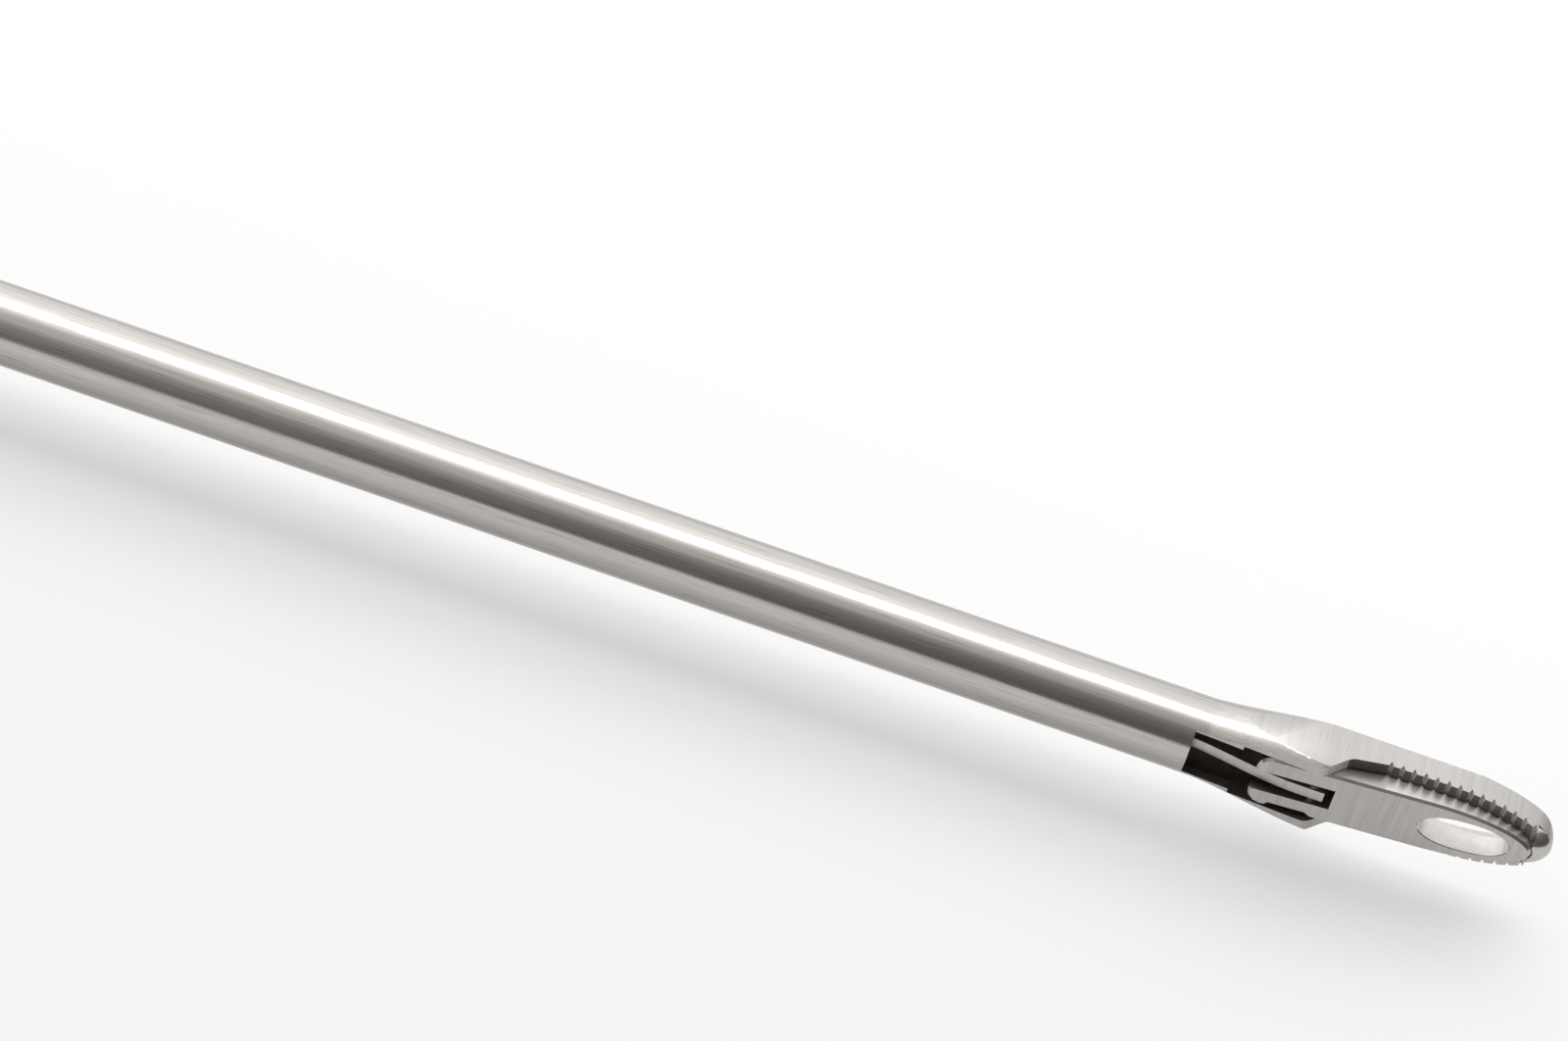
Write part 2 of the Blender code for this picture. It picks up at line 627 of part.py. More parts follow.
def drive_strip(material):
    steps = 12
    backs = [STRIP_REAR]
    for step in range(steps + 1):
        backs.append(STRIP_BEND_REAR + (STRIP_BEND_FRONT - STRIP_BEND_REAR) * step / steps)
    backs.append(STRIP_FRONT)
    lower = [(behind(back), strip_edge(back)) for back in backs]
    upper = [(behind(back), strip_edge(back) + STRIP_HEIGHT) for back in reversed(backs)]
    half = STRIP_THICKNESS / 2
    strip = prism("drive_strip", lower + upper, "Z", AXIS_Z - half, AXIS_Z + half, material)
    pin_half = LINK_PIN_DIA / 2 + PIN_GAP
    drop = LINK_ARM * (1 - math.cos(JAW_OPENING / 2))
    slot = arc((LINK.x, LINK.y), pin_half, 0, 180, 8)
    slot += arc((LINK.x, LINK.y - drop), pin_half, 180, 360, 8)
    cut(strip, prism("link_slot", slot, "Z", AXIS_Z - REACH, AXIS_Z + REACH))
    for number, back in enumerate(RIVET_BACK):
        height = strip_edge(back) + STRIP_HEIGHT / 2
        cut(strip, disc(f"strip_hole_{number}", (behind(back), height, AXIS_Z), "Z",
                        RIVET_DIA / 2 + PIN_GAP, -REACH, REACH))
    return strip


def drive_rod(material):
    rod_shoulder = HINGE_X + SPOOL_LENGTH / 2 + SEAT_GAP
    rod_rear = HINGE_X - SPOOL_LENGTH / 2 - 2 * SEAT_GAP - LOCK_NUT_LENGTH - SEAT_GAP
    profile = [(rod_rear, ROD_THREAD_DIA / 2), (rod_shoulder, ROD_THREAD_DIA / 2),
               (rod_shoulder, ROD_R), (behind(ROD_FRONT), ROD_R)]
    rod = turned("drive_rod", profile, (0, 0, AXIS_Z), "X", SMALL_SIDES + 8, material)
    half = STRIP_THICKNESS / 2 + SEAT_GAP
    slot = box("rod_slot", (behind(STRIP_REAR) - SEAT_GAP, -REACH, AXIS_Z - half),
               (TIP_X, REACH, AXIS_Z + half))
    cut(rod, slot)
    for number, back in enumerate(RIVET_BACK):
        height = strip_edge(back) + STRIP_HEIGHT / 2
        cut(rod, disc(f"rod_hole_{number}", (behind(back), height, AXIS_Z), "Z",
                      RIVET_DIA / 2 + PIN_GAP, -REACH, REACH))
    return rod


def strip_rivets(material):
    """Two rivets that hold the strip in the rod's slot."""
    reach = ROD_R * 0.93
    for name, back in zip(("strip_rivet_front", "strip_rivet_rear"), RIVET_BACK):
        height = strip_edge(back) + STRIP_HEIGHT / 2
        disc(name, (behind(back), height, AXIS_Z), "Z", RIVET_DIA / 2, -reach, reach, material,
             sides=14)


def drive_spool(material):
    """The grooved spool that the fork's pins push and pull, and its lock nut."""
    bore = ROD_THREAD_DIA / 2 + PIN_GAP
    half = SPOOL_LENGTH / 2
    groove = GROOVE_LENGTH / 2
    flange, floor = SPOOL_FLANGE_DIA / 2, SPOOL_GROOVE_DIA / 2
    profile = [(-half, bore), (-half, flange), (-groove, flange), (-groove, floor),
               (groove, floor), (groove, flange), (half, flange), (half, bore)]
    centre = (HINGE_X, 0, AXIS_Z)
    spool = turned("drive_spool", profile, centre, "X", SMALL_SIDES + 4, material, hollow=True)
    rear = -half - 2 * SEAT_GAP
    profile = [(rear - LOCK_NUT_LENGTH, bore), (rear - LOCK_NUT_LENGTH, LOCK_NUT_DIA / 2),
               (rear, LOCK_NUT_DIA / 2), (rear, bore)]
    nut = turned("spool_lock_nut", profile, centre, "X", 6, material, hollow=True)
    bore_cut = disc("lock_nut_bore", centre, "X", bore, rear - LOCK_NUT_LENGTH - SEAT_GAP,
                    rear + SEAT_GAP)
    cut(nut, bore_cut)
    return spool, nut


def head_outline():
    corners = [(-HEAD_REAR, -HEAD_TOP), (HEAD_FRONT - 4 * MM, -HEAD_TOP),
               (HEAD_FRONT, -HEAD_NOSE), (HEAD_FRONT, HEAD_NOSE),
               (HINGE_X + 2 * CHAMBER_HALF_LENGTH, HEAD_BOTTOM - 1.5 * MM),
               (HINGE_X + CHAMBER_HALF_LENGTH, HEAD_BOTTOM),
               (-HEAD_REAR, HEAD_BOTTOM)]
    return rounded(corners, HEAD_CORNER)


def bezier(start, first, second, end, steps):
    points = []
    for step in range(steps + 1):
        t = step / steps
        points.append(start * (1 - t) ** 3 + first * (3 * t * (1 - t) ** 2)
                      + second * (3 * t * t * (1 - t)) + end * t ** 3)
    return points


def arm_path(start, ring_centre, top_bow, ring_bow, steps=12):
    """The arm's bowed middle line, from inside the head to the middle of the ring's band."""
    start = Vector(start)
    centre = Vector(ring_centre)
    towards = (start - centre).normalized()
    end = centre + towards * (RING_BORE / 2 + RING_BAND / 2)
    across = Vector((-towards.y, towards.x))
    run = (end - start).length
    return bezier(start, start - towards * run * 0.35 + across * top_bow,
                  end + towards * run * 0.3 + across * ring_bow, end, steps)


def arm_and_ring(name, path, top_width, ring_centre):
    """A bowed arm along its path and a finger ring with a rounded band."""
    centre = Vector(ring_centre)
    last = len(path) - 1
    widths = [top_width + (ARM_WIDTH_RING - top_width) * min(1.0, 1.25 * index / last)
              for index in range(last + 1)]
    arm = swept(f"{name}_arm", path, widths, ARM_THICKNESS)
    profile = []
    for step in range(12):
        angle = 2 * math.pi * step / 12
        profile.append((RING_WIDTH / 2 * math.copysign(abs(math.sin(angle)) ** 0.7, math.sin(angle)),
                        RING_BORE / 2 + RING_BAND / 2
                        + RING_BAND / 2 * math.copysign(abs(math.cos(angle)) ** 0.7,
                                                        math.cos(angle))))
    ring = turned(f"{name}_ring", profile, (centre.x, centre.y, AXIS_Z), "Z", ROUND_SIDES,
                  hollow=True)
    return arm, ring


def rear_handle(material):
    """The fixed handle: the head that holds the shaft, the arm and the thumb ring."""
    handle = prism("rear_handle", head_outline(), "Z", 0, HEAD_THICKNESS, material)
    bevel = handle.modifiers.new("edge_round", "BEVEL")
    bevel.width = HEAD_EDGE
    bevel.segments = 2
    bevel.limit_method = "ANGLE"
    bevel.angle_limit = math.radians(60)
    path = arm_path(THUMB_ARM_START, THUMB_RING, *THUMB_ARM_BOW)
    arm, ring = arm_and_ring("thumb", path, ARM_WIDTH_TOP, THUMB_RING)
    ring_hole = disc("thumb_ring_hole", (*THUMB_RING, AXIS_Z), "Z", RING_BORE / 2 - HEAD_EDGE / 4,
                     -REACH, REACH, sides=ROUND_SIDES)
    join(handle, arm, ring)
    axis = (0, 0, AXIS_Z)
    collar_seat = disc("collar_seat", axis, "X", COLLAR_DIA / 2 + SEAT_GAP,
                       HEAD_FRONT - TUBE_IN_HEAD - SEAT_GAP, HEAD_FRONT + REACH)
    chamber = disc("rinse_chamber", axis, "X", CHAMBER_DIA / 2,
                   CHAMBER_FRONT - SEAT_GAP, HEAD_FRONT - TUBE_IN_HEAD)
    cap_seat = disc("cap_seat", axis, "X", CAP_THREAD_DIA / 2 + SEAT_GAP,
                    -HEAD_REAR - REACH, CHAMBER_REAR + SEAT_GAP)
    port_seat = disc("port_seat", (PORT_X, 0, AXIS_Z), "Y", PORT_SPIGOT_DIA / 2 + SEAT_GAP,
                     -HEAD_TOP - REACH, 0)
    screw_seat = disc("collar_screw_seat", (COLLAR_SCREW_X, 0, AXIS_Z), "Z",
                      COLLAR_SCREW_DIA / 2 + SEAT_GAP, 0, REACH)
    cut(handle, collar_seat, chamber, cap_seat, port_seat, screw_seat, fork_room())
    hinge = (HINGE.x, HINGE.y, 0)
    hinge_hole = disc("hinge_hole", hinge, "Z", HINGE_DIA / 2 + SEAT_GAP,
                      -REACH, REACH, sides=28)
    head_seat = disc("hinge_head_seat", hinge, "Z", HINGE_HEAD_DIA / 2 + SEAT_GAP,
                     HEAD_THICKNESS - HINGE_SINK - HINGE_HEAD_THICKNESS, REACH, sides=28)
    nut_seat = disc("hinge_nut_seat", hinge, "Z", HINGE_NUT_DIA / 2 + SEAT_GAP,
                    -REACH, HINGE_SINK + HINGE_HEAD_THICKNESS, sides=28)
    cut(handle, hinge_hole, head_seat, nut_seat, ring_hole)
    weld(handle)
    return handle


def fork_room():
    """The room in the head for the front handle's hinge and fork, open towards the rings."""
    top = -(FORK_REACH + 2 * FREE_GAP)
    mouth = HEAD_BOTTOM + FREE_GAP
    path = arm_path(HINGE.xy, FINGER_RING, *FINGER_ARM_BOW)
    start = path[1] - path[0]
    lean = math.atan2(start.x, start.y) + HANDLE_OPENING
    side = EYE_DIA / 2 + FREE_GAP
    edge = Vector((HINGE.x + side * math.cos(lean), HINGE.y - side * math.sin(lean)))
    slope = math.tan(lean)
    outline = [(CHAMBER_REAR, top), (CHAMBER_FRONT, top),
               (CHAMBER_FRONT, edge.y + (CHAMBER_FRONT - edge.x) / slope),
               (edge.x + (mouth - edge.y) * slope, mouth), (CHAMBER_REAR, mouth)]
    return prism("fork_room", outline, "Z", AXIS_Z - SLOT_HALF, AXIS_Z + SLOT_HALF)


def front_handle(material):
    """The moving handle: the drive fork, the hinge eye, the arm and the finger ring."""
    half = BLADE_THICKNESS / 2
    fork = arc((HINGE_X, -FORK_REACH + FORK_HALF_WIDTH), FORK_HALF_WIDTH, 180, 360, 10)
    eye = arc((HINGE_X, HINGE_ARM), EYE_DIA / 2, -35, 215, 22)
    handle = prism("front_handle", fork + eye, "Z", AXIS_Z - half, AXIS_Z + half, material)
    hinge = Vector((HINGE.x, HINGE.y))
    path = arm_path(hinge, FINGER_RING, *FINGER_ARM_BOW)
    arm, ring = arm_and_ring("finger", path, EYE_DIA, FINGER_RING)
    for vert in arm.data.vertices:
        near = (vert.co.xy - hinge).length
        if near < HEAD_BOTTOM and abs(vert.co.z - AXIS_Z) > half:
            vert.co.z = AXIS_Z + math.copysign(half, vert.co.z - AXIS_Z)
    join(handle, arm, ring)
    gap = box("fork_gap",
              (HINGE_X - FORK_HALF_WIDTH - REACH, -FORK_REACH - REACH,
               AXIS_Z - SPOOL_FLANGE_DIA / 2 - FORK_GAP),
              (HINGE_X + FORK_HALF_WIDTH + REACH, SPOOL_FLANGE_DIA / 2 + FREE_GAP,
               AXIS_Z + SPOOL_FLANGE_DIA / 2 + FORK_GAP))
    hole = disc("eye_hole", HINGE, "Z", HINGE_DIA / 2 + SLIDE_GAP, -REACH, REACH, sides=28)
    pin_hole = disc("drive_pin_hole", (HINGE_X, 0, AXIS_Z), "Z", DRIVE_PIN_DIA / 2 + PIN_GAP,
                    -REACH, REACH)
    ring_hole = disc("finger_ring_hole", (*FINGER_RING, AXIS_Z), "Z",
                     RING_BORE / 2 - HEAD_EDGE / 4, -REACH, REACH, sides=ROUND_SIDES)
    cut(handle, gap, hole, pin_hole, ring_hole)
    set_origin(handle, HINGE)
    return handle


def drive_pins(material):
    """Two short pins in the fork that ride in the spool's groove."""
    inner = SPOOL_GROOVE_DIA / 2 + SLIDE_GAP
    outer = BLADE_THICKNESS / 2 - SEAT_GAP
    for name, low, high in (("drive_pin_upper", inner, outer), ("drive_pin_lower", -outer, -inner)):
        pin = disc(name, (HINGE_X, 0, AXIS_Z), "Z", DRIVE_PIN_DIA / 2, low, high, material, sides=16)
        set_origin(pin, HINGE)


def handle_hinge(material, washer_material):
    """The slotted screw, its sunk nut and the two thrust washers of the handle hinge."""
    top = HEAD_THICKNESS - HINGE_SINK
    bottom = HINGE_SINK
    centre = (HINGE.x, HINGE.y, 0)
    nut_top = bottom + HINGE_HEAD_THICKNESS - SEAT_GAP
    profile = [(bottom + SEAT_GAP, HINGE_THREAD_DIA / 2), (nut_top + SEAT_GAP, HINGE_THREAD_DIA / 2),
               (nut_top + SEAT_GAP, HINGE_DIA / 2),
               (top - HINGE_HEAD_THICKNESS + SEAT_GAP, HINGE_DIA / 2),
               (top - HINGE_HEAD_THICKNESS + SEAT_GAP, HINGE_HEAD_DIA / 2),
               (top - 2 * SEAT_GAP, HINGE_HEAD_DIA / 2), (top, HINGE_HEAD_DIA / 2 - 2 * SEAT_GAP)]
    screw = turned("handle_pivot_screw", profile, centre, "Z", 28, material)
    slot = box("pivot_screw_slot", (HINGE.x - REACH, HINGE.y - CAP_SLOT / 2,
                                    top - HINGE_HEAD_THICKNESS / 2),
               (HINGE.x + REACH, HINGE.y + CAP_SLOT / 2, top + REACH))
    cut(screw, slot)
    bore = HINGE_THREAD_DIA / 2 + PIN_GAP
    profile = [(bottom, bore), (bottom, HINGE_NUT_DIA / 2), (nut_top, HINGE_NUT_DIA / 2),
               (nut_top, bore)]
    nut = turned("handle_pivot_nut", profile, centre, "Z", 28, material, hollow=True)
    cut(nut, box("pivot_nut_slot", (HINGE.x - CAP_SLOT / 2, HINGE.y - REACH, -REACH),
                 (HINGE.x + CAP_SLOT / 2, HINGE.y + REACH, bottom + HINGE_HEAD_THICKNESS / 3)))
    half = BLADE_THICKNESS / 2 + SEAT_GAP
    inner = HINGE_DIA / 2 + SLIDE_GAP
    washers = []
    for name, low in (("pivot_washer_upper", AXIS_Z + half),
                      ("pivot_washer_lower", AXIS_Z - half - WASHER_THICKNESS)):
        high = low + WASHER_THICKNESS
        profile = [(low, inner), (low, WASHER_DIA / 2), (high, WASHER_DIA / 2), (high, inner)]
        washers.append(turned(name, profile, centre, "Z", 28, washer_material, hollow=True))
    return screw, nut, washers


def shaft_collar(material):
    """The soldered collar that carries the tube in the head, and its set screw."""
    bore = TUBE_R + SEAT_GAP
    seat = COLLAR_DIA / 2
    flange = COLLAR_FLANGE_DIA / 2
    face = HEAD_FRONT + SEAT_GAP
    profile = [(HEAD_FRONT - TUBE_IN_HEAD, bore), (HEAD_FRONT - TUBE_IN_HEAD, seat),
               (face, seat), (face, flange), (face + COLLAR_FLANGE, flange)]
    steps = 5
    for step in range(1, steps + 1):
        share = step / steps
        radius = flange + (TUBE_R + COLLAR_TIP_WALL - flange) * math.sin(math.radians(90) * share)
        profile.append((face + COLLAR_FLANGE + (COLLAR_LENGTH - COLLAR_FLANGE) * share, radius))
    profile.append((face + COLLAR_LENGTH, bore))
    collar = turned("shaft_collar", profile, (0, 0, AXIS_Z), "X", 32, material, hollow=True)
    top = HEAD_THICKNESS / 2 - FREE_GAP
    tip = TUBE_R + FREE_GAP
    centre = (COLLAR_SCREW_X, 0, AXIS_Z)
    cut(collar, disc("collar_screw_hole", centre, "Z", COLLAR_SCREW_DIA / 2 + SEAT_GAP,
                     tip - SEAT_GAP, REACH))
    screw = disc("collar_set_screw", centre, "Z", COLLAR_SCREW_DIA / 2, tip, top, material)
    cut(screw, box("set_screw_slot", (COLLAR_SCREW_X - REACH, -CAP_SLOT / 3, AXIS_Z + top - CAP_SLOT),
                   (COLLAR_SCREW_X + REACH, CAP_SLOT / 3, AXIS_Z + REACH)))
    return collar, screw


def rod_guide(bush_material, seal_material):
    """The bush that guides the rod behind the rinse chamber, and the seal ahead of it."""
    bore = ROD_R + SLIDE_GAP
    outer = CHAMBER_DIA / 2 - SEAT_GAP
    low = CHAMBER_FRONT
    high = low + BUSH_LENGTH
    axis = (0, 0, AXIS_Z)
    profile = [(low, bore), (low, outer), (high, outer), (high, bore)]
    bush = turned("rod_guide_bush", profile, axis, "X", 28, bush_material, hollow=True)
    middle = (bore + outer) / 2
    radius = (outer - bore) / 2
    centre = high + SEAT_GAP + SEAL_THICKNESS / 2
    profile = [(centre + along, middle + radial) for along, radial in
               ((SEAL_THICKNESS / 2 * math.sin(math.radians(a)), radius * math.cos(math.radians(a)))
                for a in range(0, 360, 45))]
    seal = turned("rod_seal_ring", profile, axis, "X", 28, seal_material, hollow=True)
    return bush, seal


def rinse_port(material):
    """The cleaning connector: a tapered socket with a lug ring, screwed into the head."""
    seat = HEAD_TOP + SEAT_GAP
    inside = CHAMBER_DIA / 2 + SEAT_GAP
    bore = PORT_BORE_DIA / 2
    spigot, flange = PORT_SPIGOT_DIA / 2, PORT_FLANGE_DIA / 2
    neck, lug = PORT_NECK_DIA / 2 + 0.6 * MM, PORT_LUG_DIA / 2
    end = seat + PORT_LENGTH
    profile = [(-inside, bore), (-inside, spigot), (-seat, spigot), (-seat, flange),
               (-seat - 1.2 * MM, flange), (-seat - 2.0 * MM, neck), (-end + 1.6 * MM, neck),
               (-end + 1.2 * MM, lug), (-end, lug), (-end, PORT_MOUTH_DIA / 2),
               (-end + 7.0 * MM, PORT_MOUTH_DIA / 2 - 0.21 * MM), (-end + 7.0 * MM, bore)]
    port = turned("rinse_port", profile, (PORT_X, 0, AXIS_Z), "Y", 28, material, hollow=True)
    for name, side in (("front", 1), ("rear", -1)):
        edge = PORT_X + side * (PORT_NECK_DIA / 2 + 0.9 * MM)
        cut(port, box(f"lug_cut_{name}", (min(edge, edge + side * REACH), -end - REACH, -REACH),
                      (max(edge, edge + side * REACH), -end + 1.6 * MM, REACH)))
    return port


def rod_end_cap(material):
    """The slotted plug that closes the bore behind the rod."""
    front = CHAMBER_REAR - SEAT_GAP
    centre = (0, 0, AXIS_Z)
    cap = disc("rod_end_cap", centre, "X", CAP_THREAD_DIA / 2, front - CAP_THICKNESS, front,
               material, sides=28)
    cut(cap, box("cap_slot", (front - CAP_THICKNESS - REACH, -CAP_SLOT / 2, -REACH),
                 (front - CAP_THICKNESS * 0.6, CAP_SLOT / 2, REACH)))
    return cap


def build():
    clear_scene()
    steel = metal("brushed_steel", (0.62, 0.60, 0.58), 0.32)
    ground_steel = metal("ground_steel", (0.56, 0.55, 0.54), 0.4)
    bright_steel = metal("bright_steel", (0.72, 0.71, 0.70), 0.22)
    bronze = metal("bronze", (0.60, 0.45, 0.25), 0.4)
    seal = rubber("silicone", (0.05, 0.05, 0.055))
    root = bpy.data.objects.new("forceps", None)
    bpy.context.scene.collection.objects.link(root)
    shaft_tube(steel)
    cutting_jaw(ground_steel)
    jaw_pins(bright_steel)
    drive_strip(ground_steel)
    drive_rod(ground_steel)
    strip_rivets(bright_steel)
    drive_spool(ground_steel)
    rear_handle(steel)
    front_handle(steel)
    drive_pins(bright_steel)
    handle_hinge(bright_steel, bronze)
    shaft_collar(steel)
    rod_guide(bronze, seal)
    rinse_port(bright_steel)
    rod_end_cap(bright_steel)
    for item in bpy.context.scene.collection.objects:
        if item != root:
            item.parent = root


build()
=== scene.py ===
import math

import bpy
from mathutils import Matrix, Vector


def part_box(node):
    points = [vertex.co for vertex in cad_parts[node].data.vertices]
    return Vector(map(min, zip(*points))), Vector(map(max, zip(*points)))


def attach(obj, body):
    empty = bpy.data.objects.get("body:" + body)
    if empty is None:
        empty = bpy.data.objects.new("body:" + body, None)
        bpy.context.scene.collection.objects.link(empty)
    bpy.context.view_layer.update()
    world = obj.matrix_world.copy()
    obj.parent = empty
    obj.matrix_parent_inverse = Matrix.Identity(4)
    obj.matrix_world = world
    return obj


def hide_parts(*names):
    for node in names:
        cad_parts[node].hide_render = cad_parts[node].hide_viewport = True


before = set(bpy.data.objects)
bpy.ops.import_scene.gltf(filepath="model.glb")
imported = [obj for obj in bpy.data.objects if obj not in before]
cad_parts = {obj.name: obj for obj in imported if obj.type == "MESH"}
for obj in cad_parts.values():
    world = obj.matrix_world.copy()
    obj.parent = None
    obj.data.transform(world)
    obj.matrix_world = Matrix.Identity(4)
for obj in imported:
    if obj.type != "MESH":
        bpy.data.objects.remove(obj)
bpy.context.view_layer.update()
mm = 0.001
weldMm = 0.0002  # points closer than this are one
far = 20  # how far a cutter runs past what it cuts, in millimetres

tubeLow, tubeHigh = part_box("shaft_tube")
tipX = tubeHigh.x
axisZ = (tubeLow.z + tubeHigh.z) / 2


# Small helpers

def at(back, height, side=0.0):
    # a point in millimetres: behind the tip, above the shaft axis, and to its side
    return Vector((tipX - back * mm, height * mm, axisZ + side * mm))


def linear(hexColour):
    channels = []
    for start in (0, 2, 4):
        value = int(hexColour[start:start + 2], 16) / 255
        channels.append(value / 12.92 if value <= 0.04045 else ((value + 0.055) / 1.055) ** 2.4)
    return (*channels, 1.0)


def ease(share):
    # from 0 to 1, slow at both ends
    return share * share * (3 - 2 * share)


def addNode(tree, kind, inputs=None, **settings):
    node = tree.nodes.new("ShaderNode" + kind)
    for name, value in settings.items():
        setattr(node, name, value)
    for name, value in (inputs or {}).items():
        if isinstance(value, bpy.types.NodeSocket):
            tree.links.new(value, node.inputs[name])
        else:
            node.inputs[name].default_value = value
    return node


def blend(tree, share, first, second):
    # two colours, each an sRGB hex or the output of a node
    colours = [linear(one) if isinstance(one, str) else one for one in (first, second)]
    mix = addNode(tree, "Mix", {"Factor": share, "A": colours[0], "B": colours[1]},
                  data_type="RGBA")
    return mix.outputs[2]


def startMaterial(name):
    material = bpy.data.materials.new(name)
    material.use_nodes = True
    return material, material.node_tree


def selectOnly(piece):
    bpy.ops.object.select_all(action="DESELECT")
    piece.select_set(True)
    bpy.context.view_layer.objects.active = piece


def editAll(piece):
    selectOnly(piece)
    bpy.ops.object.mode_set(mode="EDIT")
    bpy.ops.mesh.select_all(action="SELECT")


def closeUp():
    bpy.ops.mesh.select_all(action="SELECT")
    bpy.ops.mesh.remove_doubles(threshold=weldMm * mm)
    bpy.ops.mesh.normals_make_consistent(inside=False)
    bpy.ops.object.mode_set(mode="OBJECT")


def drawChain(name, points):
    # one vertex, pulled from point to point
    bpy.ops.object.select_all(action="DESELECT")
    bpy.ops.mesh.primitive_plane_add(size=mm)
    piece = bpy.context.object
    piece.name = name
    bpy.ops.object.mode_set(mode="EDIT")
    bpy.ops.mesh.merge(type="CENTER")
    bpy.ops.transform.translate(value=points[0])
    for before, point in zip(points, points[1:]):
        step = Vector(point) - Vector(before)
        bpy.ops.mesh.extrude_region_move(TRANSFORM_OT_translate={"value": step})
    return piece


def drawSolid(name, points, depth):
    # an outline filled and pulled to its depth
    piece = drawChain(name, [*points, points[0]])
    bpy.ops.mesh.select_all(action="SELECT")
    bpy.ops.mesh.remove_doubles(threshold=weldMm * mm)
    bpy.ops.mesh.edge_face_add()
    bpy.ops.mesh.extrude_region_move(TRANSFORM_OT_translate={"value": depth})
    closeUp()
    return piece


def spinSolid(name, points, centre, axis, steps):
    piece = drawChain(name, points)
    bpy.ops.mesh.select_all(action="SELECT")
    bpy.ops.mesh.spin(steps=steps, angle=2 * math.pi, center=centre, axis=axis)
    closeUp()
    return piece


def finishWith(piece, kind, **settings):
    modifier = piece.modifiers.new(kind.lower(), kind)
    for name, value in settings.items():
        setattr(modifier, name, value)
    selectOnly(piece)
    bpy.ops.object.modifier_apply(modifier=modifier.name)


def carve(piece, *cutters, operation="DIFFERENCE"):
    for cutter in cutters:
        finishWith(piece, "BOOLEAN", object=cutter, operation=operation, solver="EXACT")
        bpy.data.objects.remove(cutter)


def addBlock(name, low, high):
    bpy.ops.object.select_all(action="DESELECT")
    middle = (Vector(low) + Vector(high)) / 2
    bpy.ops.mesh.primitive_cube_add(size=1, location=middle, scale=Vector(high) - Vector(low))
    bpy.ops.object.transform_apply(location=True, rotation=True, scale=True)
    piece = bpy.context.object
    piece.name = name
    return piece


def addRod(name, centre, axis, radius, low, high, sides=64):
    # a drill or plug along X, Y or Z, from low to high past its centre
    turn = {"X": (0, math.pi / 2, 0), "Y": (math.pi / 2, 0, 0), "Z": (0, 0, 0)}[axis]
    way = {"X": Vector((1, 0, 0)), "Y": Vector((0, 1, 0)), "Z": Vector((0, 0, 1))}[axis]
    bpy.ops.object.select_all(action="DESELECT")
    bpy.ops.mesh.primitive_cylinder_add(vertices=sides, radius=radius, depth=high - low,
                                        location=Vector(centre) + way * (low + high) / 2,
                                        rotation=turn)
    bpy.ops.object.transform_apply(location=True, rotation=True, scale=True)
    piece = bpy.context.object
    piece.name = name
    return piece


def paint(piece, material):
    piece.data.materials.clear()
    piece.data.materials.append(material)


def paintFaces(piece, names, pickFinish):
    # one finish for each face, picked by where it lies and which way it looks
    piece.data.materials.clear()
    for name in names:
        piece.data.materials.append(steels[name])
    for face in piece.data.polygons:
        back = (tipX - face.center.x) / mm
        side = (face.center.z - axisZ) / mm
        face.material_index = names.index(pickFinish(face, back, side))


def seat(piece, node, body, smoothAngle=32):
    # the piece stands for its CAD node and moves with that node's body
    selectOnly(piece)
    bpy.ops.object.shade_smooth_by_angle(angle=math.radians(smoothAngle))
    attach(piece, body)
    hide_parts(node)
    print("made", piece.name, len(piece.data.polygons), "faces")


# Finishes

# most of a noise lies in this span; only its peaks reach the one for scratches
noiseSpan = {"From Min": 0.3, "From Max": 0.7}
scratchSpan = {"From Min": 0.64, "From Max": 0.72, "To Max": 0.6}


def addGrain(tree, place, sizeMm, detail):
    # noise drawn out to its own size along each axis
    scale = [1 / (size * mm) for size in sizeMm]
    turned = addNode(tree, "Mapping", {"Vector": place, "Scale": scale})
    return addNode(tree, "TexNoise", {"Vector": turned.outputs["Vector"], "Scale": 1.0,
                                      **detail}).outputs["Fac"]


def addSteel(name, look):
    # stainless steel: grey with a warm cast, its gloss drawn out along the lines the tool left
    material, tree = startMaterial(name)
    shader = tree.nodes["Principled BSDF"]
    shader.inputs["Metallic"].default_value = 1.0
    place = addNode(tree, "TexCoord").outputs["Object"]
    fine = addGrain(tree, place, look["fineMm"], {"Detail": 3.0, "Roughness": 0.55})
    broad = addGrain(tree, place, look["broadMm"], {"Detail": 2.0, "Roughness": 0.55})
    lines = addNode(tree, "Mix", {"Factor": 0.45, "A": fine, "B": broad}).outputs["Result"]
    shade = addNode(tree, "MapRange", {"Value": lines, **noiseSpan})
    colour = blend(tree, shade.outputs["Result"], look["dark"], look["light"])
    if "scratchMm" in look:
        # sparse hairline scratches from use, drawn a little broader than they are
        marks = addGrain(tree, place, look["scratchMm"], {"Detail": 1.0})
        worn = addNode(tree, "MapRange", {"Value": marks, **scratchSpan})
        colour = blend(tree, worn.outputs["Result"], colour, look["scratch"])
    tree.links.new(colour, shader.inputs["Base Color"])
    smooth, dull = look["roughness"]
    gloss = addNode(tree, "MapRange", {"Value": lines, **noiseSpan, "To Min": dull,
                                       "To Max": smooth})
    tree.links.new(gloss.outputs["Result"], shader.inputs["Roughness"])
    bump = addNode(tree, "Bump", {"Height": lines, "Strength": 1.0,
                                  "Distance": look["lineDepthMm"] * mm})
    tree.links.new(bump.outputs["Normal"], shader.inputs["Normal"])
    return material


